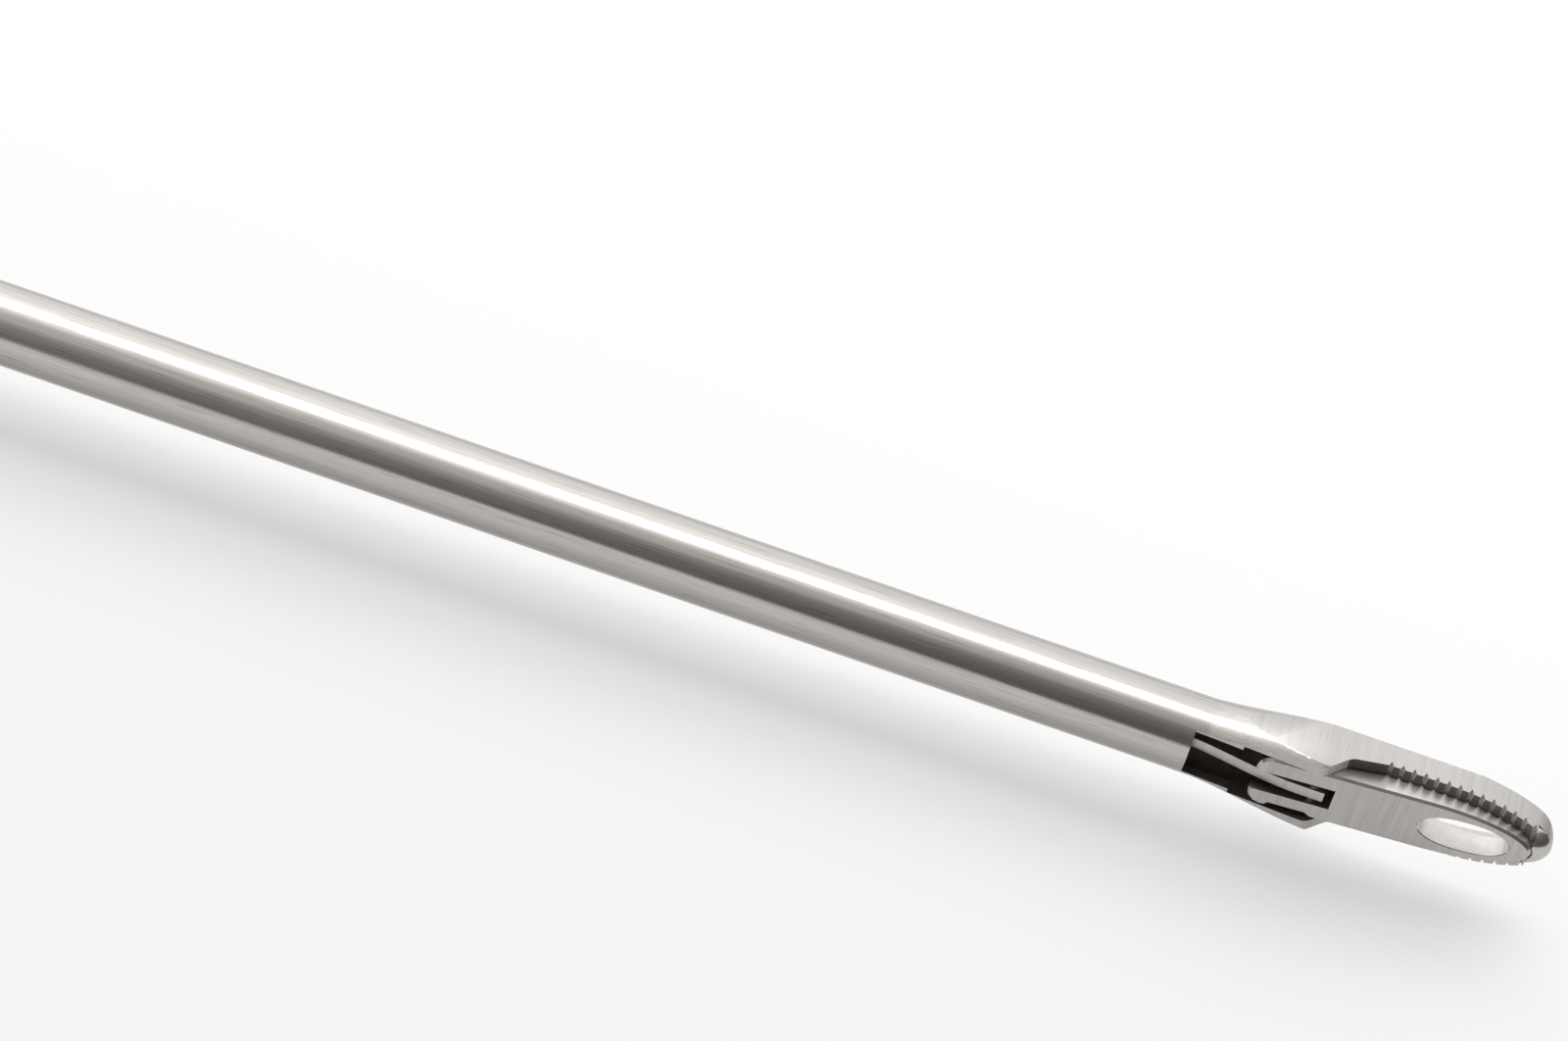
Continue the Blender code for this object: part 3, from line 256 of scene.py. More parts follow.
def addPlain(name, look):
    # turned bronze or moulded silicone: fine rings or grit too small to see, told by the gloss
    material, tree = startMaterial(name)
    shader = tree.nodes["Principled BSDF"]
    shader.inputs["Metallic"].default_value = look["metallic"]
    place = addNode(tree, "TexCoord").outputs["Object"]
    grit = addNode(tree, "TexNoise", {"Vector": place, "Scale": 1 / (look["gritMm"] * mm),
                                      "Detail": 3.0}).outputs["Fac"]
    colour = blend(tree, grit, look["dark"], look["light"])
    tree.links.new(colour, shader.inputs["Base Color"])
    gloss = addNode(tree, "MapRange", {"Value": grit, "To Min": look["roughness"][0],
                                       "To Max": look["roughness"][1]})
    tree.links.new(gloss.outputs["Result"], shader.inputs["Roughness"])
    return material


finishes = {
    # brushed along the shaft: long fine lines that streak the edges of each reflection
    "shaftBrushedSteel": {"dark": "C9C5C1", "light": "DEDBD8", "roughness": (0.13, 0.22),
                          "fineMm": (3.5, 0.05, 0.05), "broadMm": (14.0, 0.22, 0.22),
                          "lineDepthMm": 0.0030, "scratch": "A39E99",
                          "scratchMm": (2.5, 0.05, 0.05)},
    # flat-ground across the jaw: short lines square to the shaft
    "crossGroundSteel": {"dark": "C4C1BE", "light": "DAD8D5", "roughness": (0.30, 0.42),
                         "fineMm": (0.07, 2.5, 2.5), "broadMm": (0.3, 4.0, 4.0),
                         "lineDepthMm": 0.0016},
    # hand-polished forging: soft sheen with short fine lines along the handle
    "satinForgedSteel": {"dark": "C6C3C0", "light": "D9D7D4", "roughness": (0.24, 0.34),
                         "fineMm": (0.12, 2.4, 0.12), "broadMm": (0.9, 6.0, 0.9),
                         "lineDepthMm": 0.0022},
    # turned bright, nearly even: small pins and screws, and the polished lip
    "turnedBrightSteel": {"dark": "CFCCC9", "light": "DDDBD9", "roughness": (0.16, 0.24),
                          "fineMm": (0.3, 0.3, 0.05), "broadMm": (0.8, 0.8, 0.2),
                          "lineDepthMm": 0.0008},
    # toothed rim and the step behind it: painted shade, a dark colour for the shade under the
    # rim, and duller than the flats
    "paintedShadeRimSteel": {"dark": "6B655F", "light": "807A73", "roughness": (0.34, 0.46),
                     "fineMm": (0.06, 0.4, 0.4), "broadMm": (0.3, 1.0, 1.0),
                     "lineDepthMm": 0.0012},
    # walls of the tooth grooves, the jaw's window and the moving jaw's upper side: painted light,
    # pale and even so that they look lit
    "paintedLightWallSteel": {"dark": "EBE8E4", "light": "F7F5F2", "roughness": (0.34, 0.44),
                       "fineMm": (0.1, 0.1, 0.1), "broadMm": (0.4, 0.4, 0.4),
                       "lineDepthMm": 0.0006},
    # inside of the tube and the jaw's pocket: spark-eroded and dull, with painted shade: a dark
    # colour for the shade inside them
    "paintedShadePocketSteel": {"dark": "8E8984", "light": "ACA7A2", "roughness": (0.42, 0.55),
                        "fineMm": (0.08, 0.08, 0.08), "broadMm": (0.4, 0.4, 0.4),
                        "lineDepthMm": 0.003},
}
steels = {name: addSteel(name, look) for name, look in finishes.items()}
bearingBronze = addPlain("bearingBronze", {"dark": "A5854F", "light": "BB9A60", "metallic": 1.0,
                                           "roughness": (0.30, 0.42), "gritMm": 0.1})
blackSilicone = addPlain("blackSilicone", {"dark": "1B1B1D", "light": "232325", "metallic": 0.0,
                                           "roughness": (0.55, 0.65), "gritMm": 0.06})
print("finishes ready")


# Camera, floor and light

# lengths whose names don't end in Mm are in metres here
camera = {"lens": 200, "elevation": 40, "roll": 19, "targetMm": (109.3, 1.72, 6.05),
          "frameWidthMm": 61.54, "clipNear": 0.01, "clipFar": 20}


def addCamera():
    lens = bpy.data.cameras.new("photoCamera")
    lens.lens = camera["lens"]
    lens.clip_start = camera["clipNear"]
    lens.clip_end = camera["clipFar"]
    holder = bpy.data.objects.new("photoCamera", lens)
    bpy.context.scene.collection.objects.link(holder)
    lift = math.radians(camera["elevation"])
    away = camera["frameWidthMm"] * mm * camera["lens"] / lens.sensor_width
    towards = Vector((0, -math.cos(lift), math.sin(lift)))
    holder.location = Vector(camera["targetMm"]) * mm + towards * away
    holder.rotation_euler = (math.pi / 2 - lift, 0, 0)
    holder.rotation_euler.rotate_axis("Z", math.radians(camera["roll"]))
    bpy.context.scene.camera = holder


# a sheet of paper that also glows, so that it stays white in the picture; share is how much
# near and far are a painted shade: the glowing sheet is darker towards the camera than away from
# it
table = {"size": 3.0, "paper": "F4F4F4", "near": "E7E7E8", "far": "F8F8F8", "share": 0.50,
         "mirrored": "A5A3A2", "nearMm": -12, "farMm": 22}


def addTable():
    bpy.ops.object.select_all(action="DESELECT")
    bpy.ops.mesh.primitive_plane_add(size=table["size"])
    sheet = bpy.context.object
    sheet.name = "whiteTable"
    material, tree = startMaterial("whiteTableSheet")
    tree.nodes.clear()
    ray = addNode(tree, "LightPath")
    place = addNode(tree, "TexCoord").outputs["Object"]
    across = addNode(tree, "SeparateXYZ", {"Vector": place}).outputs["Y"]
    # painted shade: the glow darkens from far to near across the table
    depth = addNode(tree, "MapRange", {"Value": across, "From Min": table["nearMm"] * mm,
                                       "From Max": table["farMm"] * mm})
    tone = blend(tree, depth.outputs["Result"], table["near"], table["far"])
    seen = blend(tree, ray.outputs["Is Camera Ray"], table["mirrored"], tone)
    paper = addNode(tree, "BsdfDiffuse", {"Color": linear(table["paper"])})
    glow = addNode(tree, "Emission", {"Color": seen, "Strength": 1.0})
    anyRay = addNode(tree, "Math", {0: ray.outputs["Is Camera Ray"],
                                    1: ray.outputs["Is Glossy Ray"]}, operation="MAXIMUM")
    through = addNode(tree, "Math", {0: anyRay.outputs[0],
                                     1: ray.outputs["Is Transmission Ray"]}, operation="MAXIMUM")
    part = addNode(tree, "Math", {0: through.outputs[0], 1: table["share"]}, operation="MULTIPLY")
    both = addNode(tree, "MixShader", {0: part.outputs[0], 1: paper.outputs[0],
                                       2: glow.outputs[0]})
    out = addNode(tree, "OutputMaterial")
    tree.links.new(both.outputs[0], out.inputs["Surface"])
    paint(sheet, material)


# the room behind the camera, from its height above the table (as a share of straight up);
# its left side is lighter than its right
studio = {"backdrop": "FFFFFF",
          "room": ((0.10, "646260"), (0.44, "757371"), (0.64, "888684"), (0.81, "A8A6A4"),
                   (0.93, "B2B0AE"), (0.97, "C8C6C4"), (0.995, "F0EFEE")),
          "left": -0.09, "right": 0.04, "leftShare": 1.5, "rightShare": 0.68}


def addStudio():
    world = bpy.data.worlds.new("studio")
    bpy.context.scene.world = world
    world.use_nodes = True
    tree = world.node_tree
    ground = tree.nodes["Background"]
    ray = addNode(tree, "LightPath")
    way = addNode(tree, "SeparateXYZ", {"Vector": addNode(tree, "TexCoord").outputs["Generated"]})
    ramp = addNode(tree, "ValToRGB", {"Fac": way.outputs["Z"]})
    stops = ramp.color_ramp.elements
    for index, (height, tone) in enumerate(studio["room"]):
        stop = stops[index] if index < 2 else stops.new(height)
        stop.position = height
        stop.color = linear(tone)
    share = addNode(tree, "MapRange", {"Value": way.outputs["X"], "From Min": studio["left"],
                                       "From Max": studio["right"], "To Min": studio["leftShare"],
                                       "To Max": studio["rightShare"]})
    room = addNode(tree, "VectorMath", {0: ramp.outputs["Color"]}, operation="SCALE")
    tree.links.new(share.outputs["Result"], room.inputs["Scale"])
    colour = blend(tree, ray.outputs["Is Camera Ray"], room.outputs["Vector"],
                   studio["backdrop"])
    tree.links.new(colour, ground.inputs["Color"])
    bpy.context.scene.view_settings.view_transform = "Standard"


# angles are measured over the shaft from the camera's side, 90 is straight up
lamps = {
    "overheadSoftbox": {"from": 90, "to": 111, "distance": 0.60, "length": 0.9, "radiance": 2.7},
    "backCard": {"from": 114, "to": 178, "distance": 0.75, "length": 1.5, "radiance": 0.75},
    # lights the table from behind for the wide shadow, too soft to see mirrored
    "rearFill": {"from": 112, "to": 152, "distance": 0.70, "length": 0.9, "radiance": 1.9,
                 "mirrored": False},
}


def addLamp(name, look):
    half = math.radians(look["to"] - look["from"]) / 2
    angle = math.radians(look["to"] + look["from"]) / 2
    width = 2 * look["distance"] * math.tan(half)
    lamp = bpy.data.lights.new(name, "AREA")
    lamp.shape = "RECTANGLE"
    lamp.size = look["length"]
    lamp.size_y = width
    lamp.energy = look["radiance"] * math.pi * look["length"] * width
    holder = bpy.data.objects.new(name, lamp)
    bpy.context.scene.collection.objects.link(holder)
    way = Vector((0, -math.cos(angle), math.sin(angle)))
    holder.location = Vector(camera["targetMm"]) * mm + way * look["distance"]
    holder.rotation_euler = way.to_track_quat("Z", "Y").to_euler()
    holder.visible_glossy = look.get("mirrored", True)


addCamera()
addTable()
addStudio()
for lampName, lampLook in lamps.items():
    addLamp(lampName, lampLook)
print("camera, table and lamps ready")


# Shaft tube and fixed jaw, one piece

# places along the tube and the jaws are millimetres behind the tip, heights are above the
# shaft's axis, and the jaws' open face looks down
tube = {"radius": 1.6, "bore": 1.3, "rearX": 7.0, "flareRadius": 2.14, "flareStart": 14.4,
        "flareEnd": 9.6, "flareStraight": 0.55, "flareEased": 0.45, "boreEnd": 12.1,
        "flatsEnd": 160, "spare": 0.7, "sides": 144}
fixedJaw = {"halfWidth": 1.75, "noseLength": 4.9, "noseWall": 0.69, "noseMiddle": 0.45,
            "back": 1.33, "backStart": 8.6, "backRamp": 1.6,
            "windowStart": 14.8, "windowDepth": 1.1, "windowHalf": 1.08, "cheekDepth": 1.39,
            "cheekEnd": 9.75, "stepLength": 1.35, "stepTop": 0.28, "rimStart": 7.2,
            "rimFall": 0.1, "lipStart": 0.8, "bulb": (1.35, 0.84, 0.97)}
pocket = {"half": 1.26, "rear": 12.82, "top": 0.96, "corner": 0.44, "hubRoom": 0.93,
          "topRoom": 0.16, "openingRear": 6.25, "openingNose": 4.3, "openingLap": 0.08}
# nearDepth is for the side that lies on the table, innerDepth for the rim's inner edge
grooves = {"count": 14, "first": 7.1, "pitch": 0.475, "depth": 0.3, "halfAngle": 21,
           "nearDepth": 0.17, "innerDepth": 0.13, "run": 0.45, "lead": 0.12}
noseBlock = {"gap": 0.01, "depth": 3, "half": 2.5, "front": -2}
# where the tube's finishes change; the facing values are parts of a unit normal
borders = {"boreSlack": 0.05, "pocketLap": 0.1, "pocketSlack": 0.001, "groundEnd": 14.2,
           "flatFacing": 0.999, "roundFacing": 0.93, "roundSlack": 0.02, "rimLow": -1.38,
           "rimHigh": 0.45, "rimLap": 1.5, "rimFacing": 0.3, "grooveLap": 0.1,
           "grooveFacing": 0.8, "bulbHigh": 0.5, "bulbFacing": 0.97}
movingJaw = {"faceAtTip": 0.30, "faceSlope": 0.090, "tip": 0.75, "noseLength": 4.3, "half": 1.22,
             "top": 0.60, "tail": 12.1, "tailThickness": 0.44, "tailCorner": 0.55,
             "sidePoints": 13, "sidePitch": 0.45, "spare": 0.1,
             "rim": 0.10, "windowEdge": 0.03, "pivotBack": 10.05, "pivotHeight": 0.35,
             "hubRadius": 0.85, "slotHalf": 0.5, "slotEnd": 8.85, "paintedLightEnd": 6.85,
             "windowFront": 1.64, "windowRear": 5.37, "windowHalf": 0.725,
             "windowPower": 0.85, "windowSlack": 0.02, "windowReach": 1.02,
             "faceSlack": 0.01, "wallFacing": 0.5, "chamferFacing": 0.9, "reliefDepth": 0.24,
             "reliefPast": 0.04, "reliefFront": 9.45, "reliefRear": 11.2}


def noseOutline(tip, length, half, rear, height, steps=48):
    # seen from below: straight sides and half an ellipse at the tip
    points = [at(rear, height, -half)]
    for step in range(steps + 1):
        angle = math.radians(-90 + 180 * step / steps)
        points.append(at(tip + length - length * math.cos(angle), height, half * math.sin(angle)))
    points.append(at(rear, height, half))
    return points


def noseHalf(back, tip, length, half):
    # half the width of that outline at one place
    share = max(0.0, (tip + length - back) / length)
    return half * math.sqrt(max(0.0, 1 - share * share))


def faceHeight(back):
    return -(movingJaw["faceAtTip"] + movingJaw["faceSlope"] * back)


def rimHeight(back):
    return fixedJaw["rimFall"] * (fixedJaw["rimStart"] - back) / fixedJaw["rimStart"]


def noseSide(start, end, steps=16):
    # the rounded nose seen from the side, from its foremost point down or up
    jaw = fixedJaw
    lower = jaw["noseMiddle"] - faceHeight(jaw["noseWall"])
    rise = lower if start < 0 else jaw["back"] - jaw["noseMiddle"]
    points = []
    for step in range(steps + 1):
        angle = math.radians(start + (end - start) * step / steps)
        points.append((jaw["noseWall"] * (1 - math.cos(angle)),
                       jaw["noseMiddle"] + rise * math.sin(angle)))
    return points


def sideSolid(name, sidePoints, half=far):
    # a side view in (behind the tip, height), pulled across the jaw
    points = [at(back, height, -half) for back, height in sidePoints]
    return drawSolid(name, points, (0, 0, 2 * half * mm))


def planSolid(name, points):
    return drawSolid(name, points, (0, 2 * far * mm, 0))


def lowerCutter():
    jaw = fixedJaw
    points = [(jaw["windowStart"], -far), (jaw["windowStart"], -jaw["windowDepth"])]
    rise = jaw["cheekDepth"] - jaw["stepTop"]
    for step in range(17):
        share = step / 16
        points.append((jaw["cheekEnd"] - jaw["stepLength"] * share,
                       -jaw["cheekDepth"] + rise * ease(share)))
    points += [(jaw["rimStart"], rimHeight(jaw["rimStart"])),
               (jaw["lipStart"], rimHeight(jaw["lipStart"])),
               (jaw["lipStart"], faceHeight(jaw["lipStart"]))]
    points += noseSide(-90, 0)
    points += [(-far, jaw["noseMiddle"]), (-far, -far)]
    return sideSolid("lowerCutter", points)


def backCutter():
    jaw = fixedJaw
    high = tube["flareRadius"] + tube["spare"]
    points = [(jaw["backStart"] + jaw["backRamp"], high),
              (jaw["backStart"] + jaw["backRamp"], tube["flareRadius"]),
              (jaw["backStart"], jaw["back"])]
    points += noseSide(90, 0)
    points += [(-far, jaw["noseMiddle"]), (-far, high)]
    return sideSolid("backCutter", points)


def pocketCutter():
    # the room behind the opening, rounded over the moving jaw's hub
    room = pocket["hubRoom"]
    pivot = movingJaw["pivotBack"]
    ceiling = movingJaw["top"] + pocket["topRoom"]
    front = pocket["openingRear"] - pocket["openingLap"]
    points = [(pocket["rear"], -far), (pocket["rear"], pocket["top"] - pocket["corner"]),
              (pocket["rear"] - pocket["corner"], pocket["top"]), (pivot + room, pocket["top"])]
    for step in range(13):
        angle = math.radians(135 - 105 * step / 12)
        points.append((pivot - room * math.cos(angle),
                       movingJaw["pivotHeight"] + room * math.sin(angle)))
    points += [(pivot - room, ceiling), (front, ceiling), (front, -far)]
    return sideSolid("pocketCutter", points, pocket["half"])


def grooveCutters():
    # one V-groove for each tooth gap and side, deepest at the rim's outer corner
    cutters = []
    jaw = fixedJaw
    lean = math.tan(math.radians(grooves["halfAngle"]))
    for number in range(grooves["count"]):
        back = grooves["first"] - number * grooves["pitch"]
        outer = noseHalf(back, 0, jaw["noseLength"], jaw["halfWidth"])
        inner = noseHalf(back, jaw["noseWall"], pocket["openingNose"], pocket["half"])
        inner = max(inner, outer - grooves["run"]) - grooves["lead"]
        reach = outer + grooves["lead"]
        rim = rimHeight(back)
        for side, depth in ((-1, grooves["nearDepth"]), (1, grooves["depth"])):
            slope = (depth - grooves["innerDepth"]) / (reach - inner)
            low = rim - depth
            ends = []
            for out in (reach, inner):
                top = rim + grooves["innerDepth"] + slope * (out - inner)
                half = (top - low) * lean
                ends.append([at(back + half, low, side * out), at(back - half, low, side * out),
                             at(back, top, side * out)])
            cutters.append(drawWedge("grooveCutter", *ends))
    selectOnly(cutters[0])
    for cutter in cutters[1:]:
        cutter.select_set(True)
    bpy.ops.object.join()
    return cutters[0]


def drawWedge(name, firstEnd, secondEnd):
    # two triangles with their edges bridged
    pieces = []
    for end in (firstEnd, secondEnd):
        pieces.append(drawChain(name, [*end, end[0]]))
        bpy.ops.object.mode_set(mode="OBJECT")
    selectOnly(pieces[0])
    pieces[1].select_set(True)
    bpy.ops.object.join()
    bpy.ops.object.mode_set(mode="EDIT")
    bpy.ops.mesh.select_all(action="SELECT")
    bpy.ops.mesh.remove_doubles(threshold=weldMm * mm)
    bpy.ops.mesh.bridge_edge_loops()
    bpy.ops.mesh.select_all(action="SELECT")
    bpy.ops.mesh.fill_holes(sides=3)
    closeUp()
    return pieces[0]


def noseMould():
    # what has to go to leave the lip's smooth bulb: a block with an egg-shaped hollow
    jaw = fixedJaw
    block = noseBlock
    mould = addBlock("noseMould",
                     at(jaw["lipStart"] + block["gap"], -block["depth"], -block["half"]),
                     at(block["front"], jaw["noseMiddle"], block["half"]))
    bpy.ops.object.select_all(action="DESELECT")
    bpy.ops.mesh.primitive_uv_sphere_add(segments=128, ring_count=64, radius=mm,
                                         location=at(jaw["bulb"][0], jaw["noseMiddle"]),
                                         scale=jaw["bulb"])
    bpy.ops.object.transform_apply(location=True, rotation=True, scale=True)
    carve(mould, bpy.context.object)
    return mould


def addShaftTube():
    jaw = fixedJaw
    rear = (tipX - tube["rearX"] * mm) / mm
    profile = [at(tube["boreEnd"], 0), at(tube["boreEnd"], tube["bore"]), at(rear, tube["bore"]),
               at(rear, tube["radius"]), at(tube["flareStart"], tube["radius"])]
    rise = tube["flareRadius"] - tube["radius"]
    for step in range(1, 25):
        share = step / 24
        back = tube["flareStart"] + (tube["flareEnd"] - tube["flareStart"]) * share
        curve = tube["flareStraight"] * share + tube["flareEased"] * ease(share)
        profile.append(at(back, tube["radius"] + rise * curve))
    profile += [at(-tube["spare"], tube["flareRadius"]), at(-tube["spare"], 0)]
    piece = spinSolid("shaftTubeAndFixedJaw", profile, at(0, 0), (1, 0, 0), tube["sides"])
    flats = planSolid("jawFlats", noseOutline(0, jaw["noseLength"], jaw["halfWidth"],
                                              tube["flatsEnd"], -far))
    carve(piece, flats, operation="INTERSECT")
    carve(piece, backCutter(), lowerCutter(),
          addBlock("windowCutter", at(jaw["windowStart"], -far, -jaw["windowHalf"]),
                   at(tube["boreEnd"], 0, jaw["windowHalf"])),
          pocketCutter(),
          planSolid("openingCutter", noseOutline(jaw["noseWall"], pocket["openingNose"],
                                                 pocket["half"], pocket["openingRear"], -far)),
          grooveCutters(), noseMould())
    paintFaces(piece, ("shaftBrushedSteel", "crossGroundSteel", "paintedShadePocketSteel",
                       "paintedShadeRimSteel", "paintedLightWallSteel", "turnedBrightSteel"), tubeFinish)
    seat(piece, "shaft_tube", "rear_handle_and_shaft")


def tubeFinish(face, back, side):
    # brushed outside, cross-ground on the milled jaw, dull in the pocket; painted shade on its
    # rim and in the pocket, and painted light on the groove walls
    jaw = fixedJaw
    limit = borders
    height = face.center.y / mm
    radius = math.hypot(height, side)
    facing = face.normal
    outward = facing.y * face.center.y + facing.z * (face.center.z - axisZ)
    inBore = (outward < 0 and radius < tube["bore"] + limit["boreSlack"]
              and back > pocket["openingRear"])
    inPocket = (back > pocket["openingRear"] - limit["pocketLap"]
                and abs(side) < pocket["half"] - limit["pocketSlack"])
    # painted shade inside the bore and the pocket
    if (inBore or inPocket) and (outward < 0 or radius < tube["bore"]):
        return "paintedShadePocketSteel"
    onBulb = height < limit["bulbHigh"] and abs(facing.z) < limit["bulbFacing"]
    if onBulb and back < jaw["lipStart"]:
        return "turnedBrightSteel"
    if jaw["lipStart"] < back and limit["rimLow"] < height < limit["rimHigh"]:
        # painted light on the walls of the tooth grooves
        if back < jaw["rimStart"] + limit["grooveLap"] and abs(facing.x) > limit["grooveFacing"]:
            return "paintedLightWallSteel"
        # painted shade: rim faces on the upper side that look into the opening get a dark colour
        seen = side > 0 and facing.y < -limit["rimFacing"]
        if seen and back < jaw["rimStart"] + limit["rimLap"]:
            return "paintedShadeRimSteel"
    turned = (back > jaw["backStart"] and radius > tube["radius"] - limit["roundSlack"]
              and outward > limit["roundFacing"] * radius * mm)
    if back < limit["groundEnd"] and (abs(facing.z) > limit["flatFacing"] or not turned):
        return "crossGroundSteel"
    return "shaftBrushedSteel"


addShaftTube()


# Moving jaw

def jawPlan():
    # seen from below: a rounded tail, straight sides with points along them, and the nose
    jaw = movingJaw
    outline = noseOutline(jaw["tip"], jaw["noseLength"], jaw["half"], jaw["tail"], -far)
    corners = []
    for sign, turn in ((-1, (90, 60, 30, 0)), (1, (0, 30, 60, 90))):
        rounded = []
        for degrees in turn:
            angle = math.radians(degrees)
            rounded.append(at(jaw["tail"] - jaw["tailCorner"] * (1 - math.sin(angle)), -far,
                              sign * (jaw["half"] - jaw["tailCorner"] * (1 - math.cos(angle)))))
        corners.append(rounded)
    sides = [[], []]
    for step in range(1, jaw["sidePoints"] + 1):
        back = jaw["tail"] - jaw["tailCorner"] - jaw["sidePitch"] * step
        sides[0].append(at(back, -far, -jaw["half"]))
        sides[1].insert(0, at(back, -far, jaw["half"]))
    return [*corners[0], *sides[0], *outline[1:-1], *sides[1], *corners[1]]


def jawProfile():
    # seen from the side: the sloping face, a flat top, the round hub and the thin tail
    jaw = movingJaw
    tailTop = faceHeight(jaw["tail"]) + jaw["tailThickness"]
    rear = jaw["tail"] + jaw["spare"]
    front = -jaw["spare"]
    points = [(rear, faceHeight(rear)), (front, faceHeight(front)), (front, jaw["top"])]
    for step in range(25):
        angle = math.radians(25 + 180 * step / 24)
        points.append((jaw["pivotBack"] - jaw["hubRadius"] * math.cos(angle),
                       jaw["pivotHeight"] + jaw["hubRadius"] * math.sin(angle)))
    points += [(jaw["pivotBack"] + jaw["hubRadius"] + jaw["tailThickness"], tailTop),
               (rear, tailTop)]
    return points


def reliefOutline():
    # the shallow hollow in one side of the tail, with slanting ends
    jaw = movingJaw
    low = -jaw["half"]
    depth = jaw["reliefDepth"]
    return [at(jaw["reliefRear"] + depth, -far, low - jaw["reliefPast"]),
            at(jaw["reliefFront"] - depth, -far, low - jaw["reliefPast"]),
            at(jaw["reliefFront"] + depth, -far, low + depth),
            at(jaw["reliefRear"], -far, low + depth)]


def addCuttingJaw():
    jaw = movingJaw
    piece = planSolid("cuttingJaw", jawPlan())
    carve(piece, sideSolid("jawSide", jawProfile()), operation="INTERSECT")
    chamferFace(piece, "rim", jaw["rim"])
    carve(piece, planSolid("windowCutter", windowOutline()))
    chamferFace(piece, "window", jaw["windowEdge"])
    carve(piece,
          addBlock("tailSlot", at(jaw["tail"] + far, -far, -jaw["slotHalf"]),
                   at(jaw["slotEnd"], far, jaw["slotHalf"])),
          drawSolid("reliefCutter", reliefOutline(), (0, (far + jaw["top"]) * mm, 0)))
    paintFaces(piece, ("crossGroundSteel", "paintedLightWallSteel", "shaftBrushedSteel"), jawFinish)
    seat(piece, "cutting_jaw", "cutting_jaw")


def jawFinish(face, back, side):
    # cross-ground, with a polished chamfer; painted light on the window's walls and on the upper
    # side wall near the nose
    facing = face.normal
    wall = movingJaw["wallFacing"]
    # painted light on the window's walls
    if inWindow(back, side) and abs(facing.y) < wall:
        return "paintedLightWallSteel"
    if -movingJaw["chamferFacing"] < facing.y < -wall:
        return "shaftBrushedSteel"
    # painted light: the upper side wall in front of paintedLightEnd is made pale
    if facing.z > wall and back < movingJaw["paintedLightEnd"]:
        return "paintedLightWallSteel"
    return "crossGroundSteel"


def windowSpan():
    middle = (movingJaw["windowFront"] + movingJaw["windowRear"]) / 2
    half = (movingJaw["windowRear"] - movingJaw["windowFront"]) / 2
    return middle, half


def windowOutline(steps=96):
    # an oval, a little fuller than an ellipse
    middle, half = windowSpan()
    points = []
    for step in range(steps):
        angle = 2 * math.pi * step / steps
        along = math.copysign(abs(math.cos(angle)) ** movingJaw["windowPower"], math.cos(angle))
        points.append(at(middle - half * along, -far, movingJaw["windowHalf"] * math.sin(angle)))
    return points


def inWindow(back, side):
    middle, half = windowSpan()
    slack = movingJaw["windowSlack"]
    away = ((back - middle) / (half + slack)) ** 2
    away += (side / (movingJaw["windowHalf"] + slack)) ** 2
    return away < movingJaw["windowReach"]


def chamferFace(piece, name, width):
    # a narrow flat chamfer on the outer face, round its rim or round its window
    group = piece.vertex_groups.new(name=name)
    for vertex in piece.data.vertices:
        back = (tipX - vertex.co.x) / mm
        side = (vertex.co.z - axisZ) / mm
        wanted = name == "rim" or inWindow(back, side)
        if wanted and abs(vertex.co.y / mm - faceHeight(back)) < movingJaw["faceSlack"]:
            group.add([vertex.index], 1.0, "REPLACE")
    finishWith(piece, "BEVEL", width=width * mm, segments=1, limit_method="VGROUP",
               vertex_group=name, use_clamp_overlap=False)


addCuttingJaw()


# Handles

# points here are millimetres in the plane that the instrument lies in, heights are from the
# shaft's axis, and opening is how far the front handle swings, in degrees
hingePoint = (-8.0, 4.5)
handles = {"thickness": 5.0, "ringBore": 23.0, "ringBand": 3.6, "ringWidth": 7.0,
           "ringEndWidth": 5.4, "taperRate": 1.25, "edge": 2.1, "voxel": 0.34, "smoothing": 7,
           "blade": 4.6, "milled": 11.0, "eye": 6.6, "headHeight": 8.0, "headCorner": 2.4,
           "edgeRound": 0.6, "opening": 10.287, "pulls": (0.35, 0.3)}
thumbArm = {"start": (-9.0, 3.0), "ring": (-42.0, 66.0), "topWidth": 8.0, "bow": (-4.0, -8.0)}
fingerArm = {"start": (-8.0, 4.5), "ring": (10.0, 72.0), "topWidth": 6.6, "bow": (3.0, 9.0)}
headCorners = [(-14.0, -6.0), (8.0, -6.0), (12.0, -4.4), (12.0, 4.4), (0.6, 9.5), (-3.7, 11.0),
               (-14.0, 11.0)]
forkSlot = {"rear": -12.3, "front": -3.7, "low": -2.1, "mouth": 11.3, "half": 2.67, "slack": 0.3}
fork = {"tipHeight": 0.1, "tipRadius": 1.6, "gapTop": 1.95, "gapHalf": 1.7}
# bores: where, along which axis, how wide a radius, and from where to where past the point
headBores = {
    "collarSeat": ((0, 0), "X", 2.65, 6.95, far),
    "capSeat": ((0, 0), "X", 2.55, -far, -12.25),
    "portSeat": ((3, 0), "Y", 1.85, -far, -0.5),
    "screwSeat": ((9.2, 0), "Z", 1.05, 0.5, far),
    "hingeHole": (hingePoint, "Z", 2.0, -far, far),
    "hingeHeadSeat": (hingePoint, "Z", 3.05, 2.95, far),
    "hingeNutSeat": (hingePoint, "Z", 2.85, -far, -2.95),
}
forkBores = {
    "eyeHole": (hingePoint, "Z", 2.0, -far, far),
    "pinHole": ((hingePoint[0], 0), "Z", 0.67, -far, far),
}


def flatPoint(point, height=0.0):
    return Vector((point[0] * mm, point[1] * mm, axisZ + height * mm))


def addBore(name, point, axis, radius, low, high):
    return addRod(name, flatPoint(point), axis, radius * mm, low * mm, high * mm)


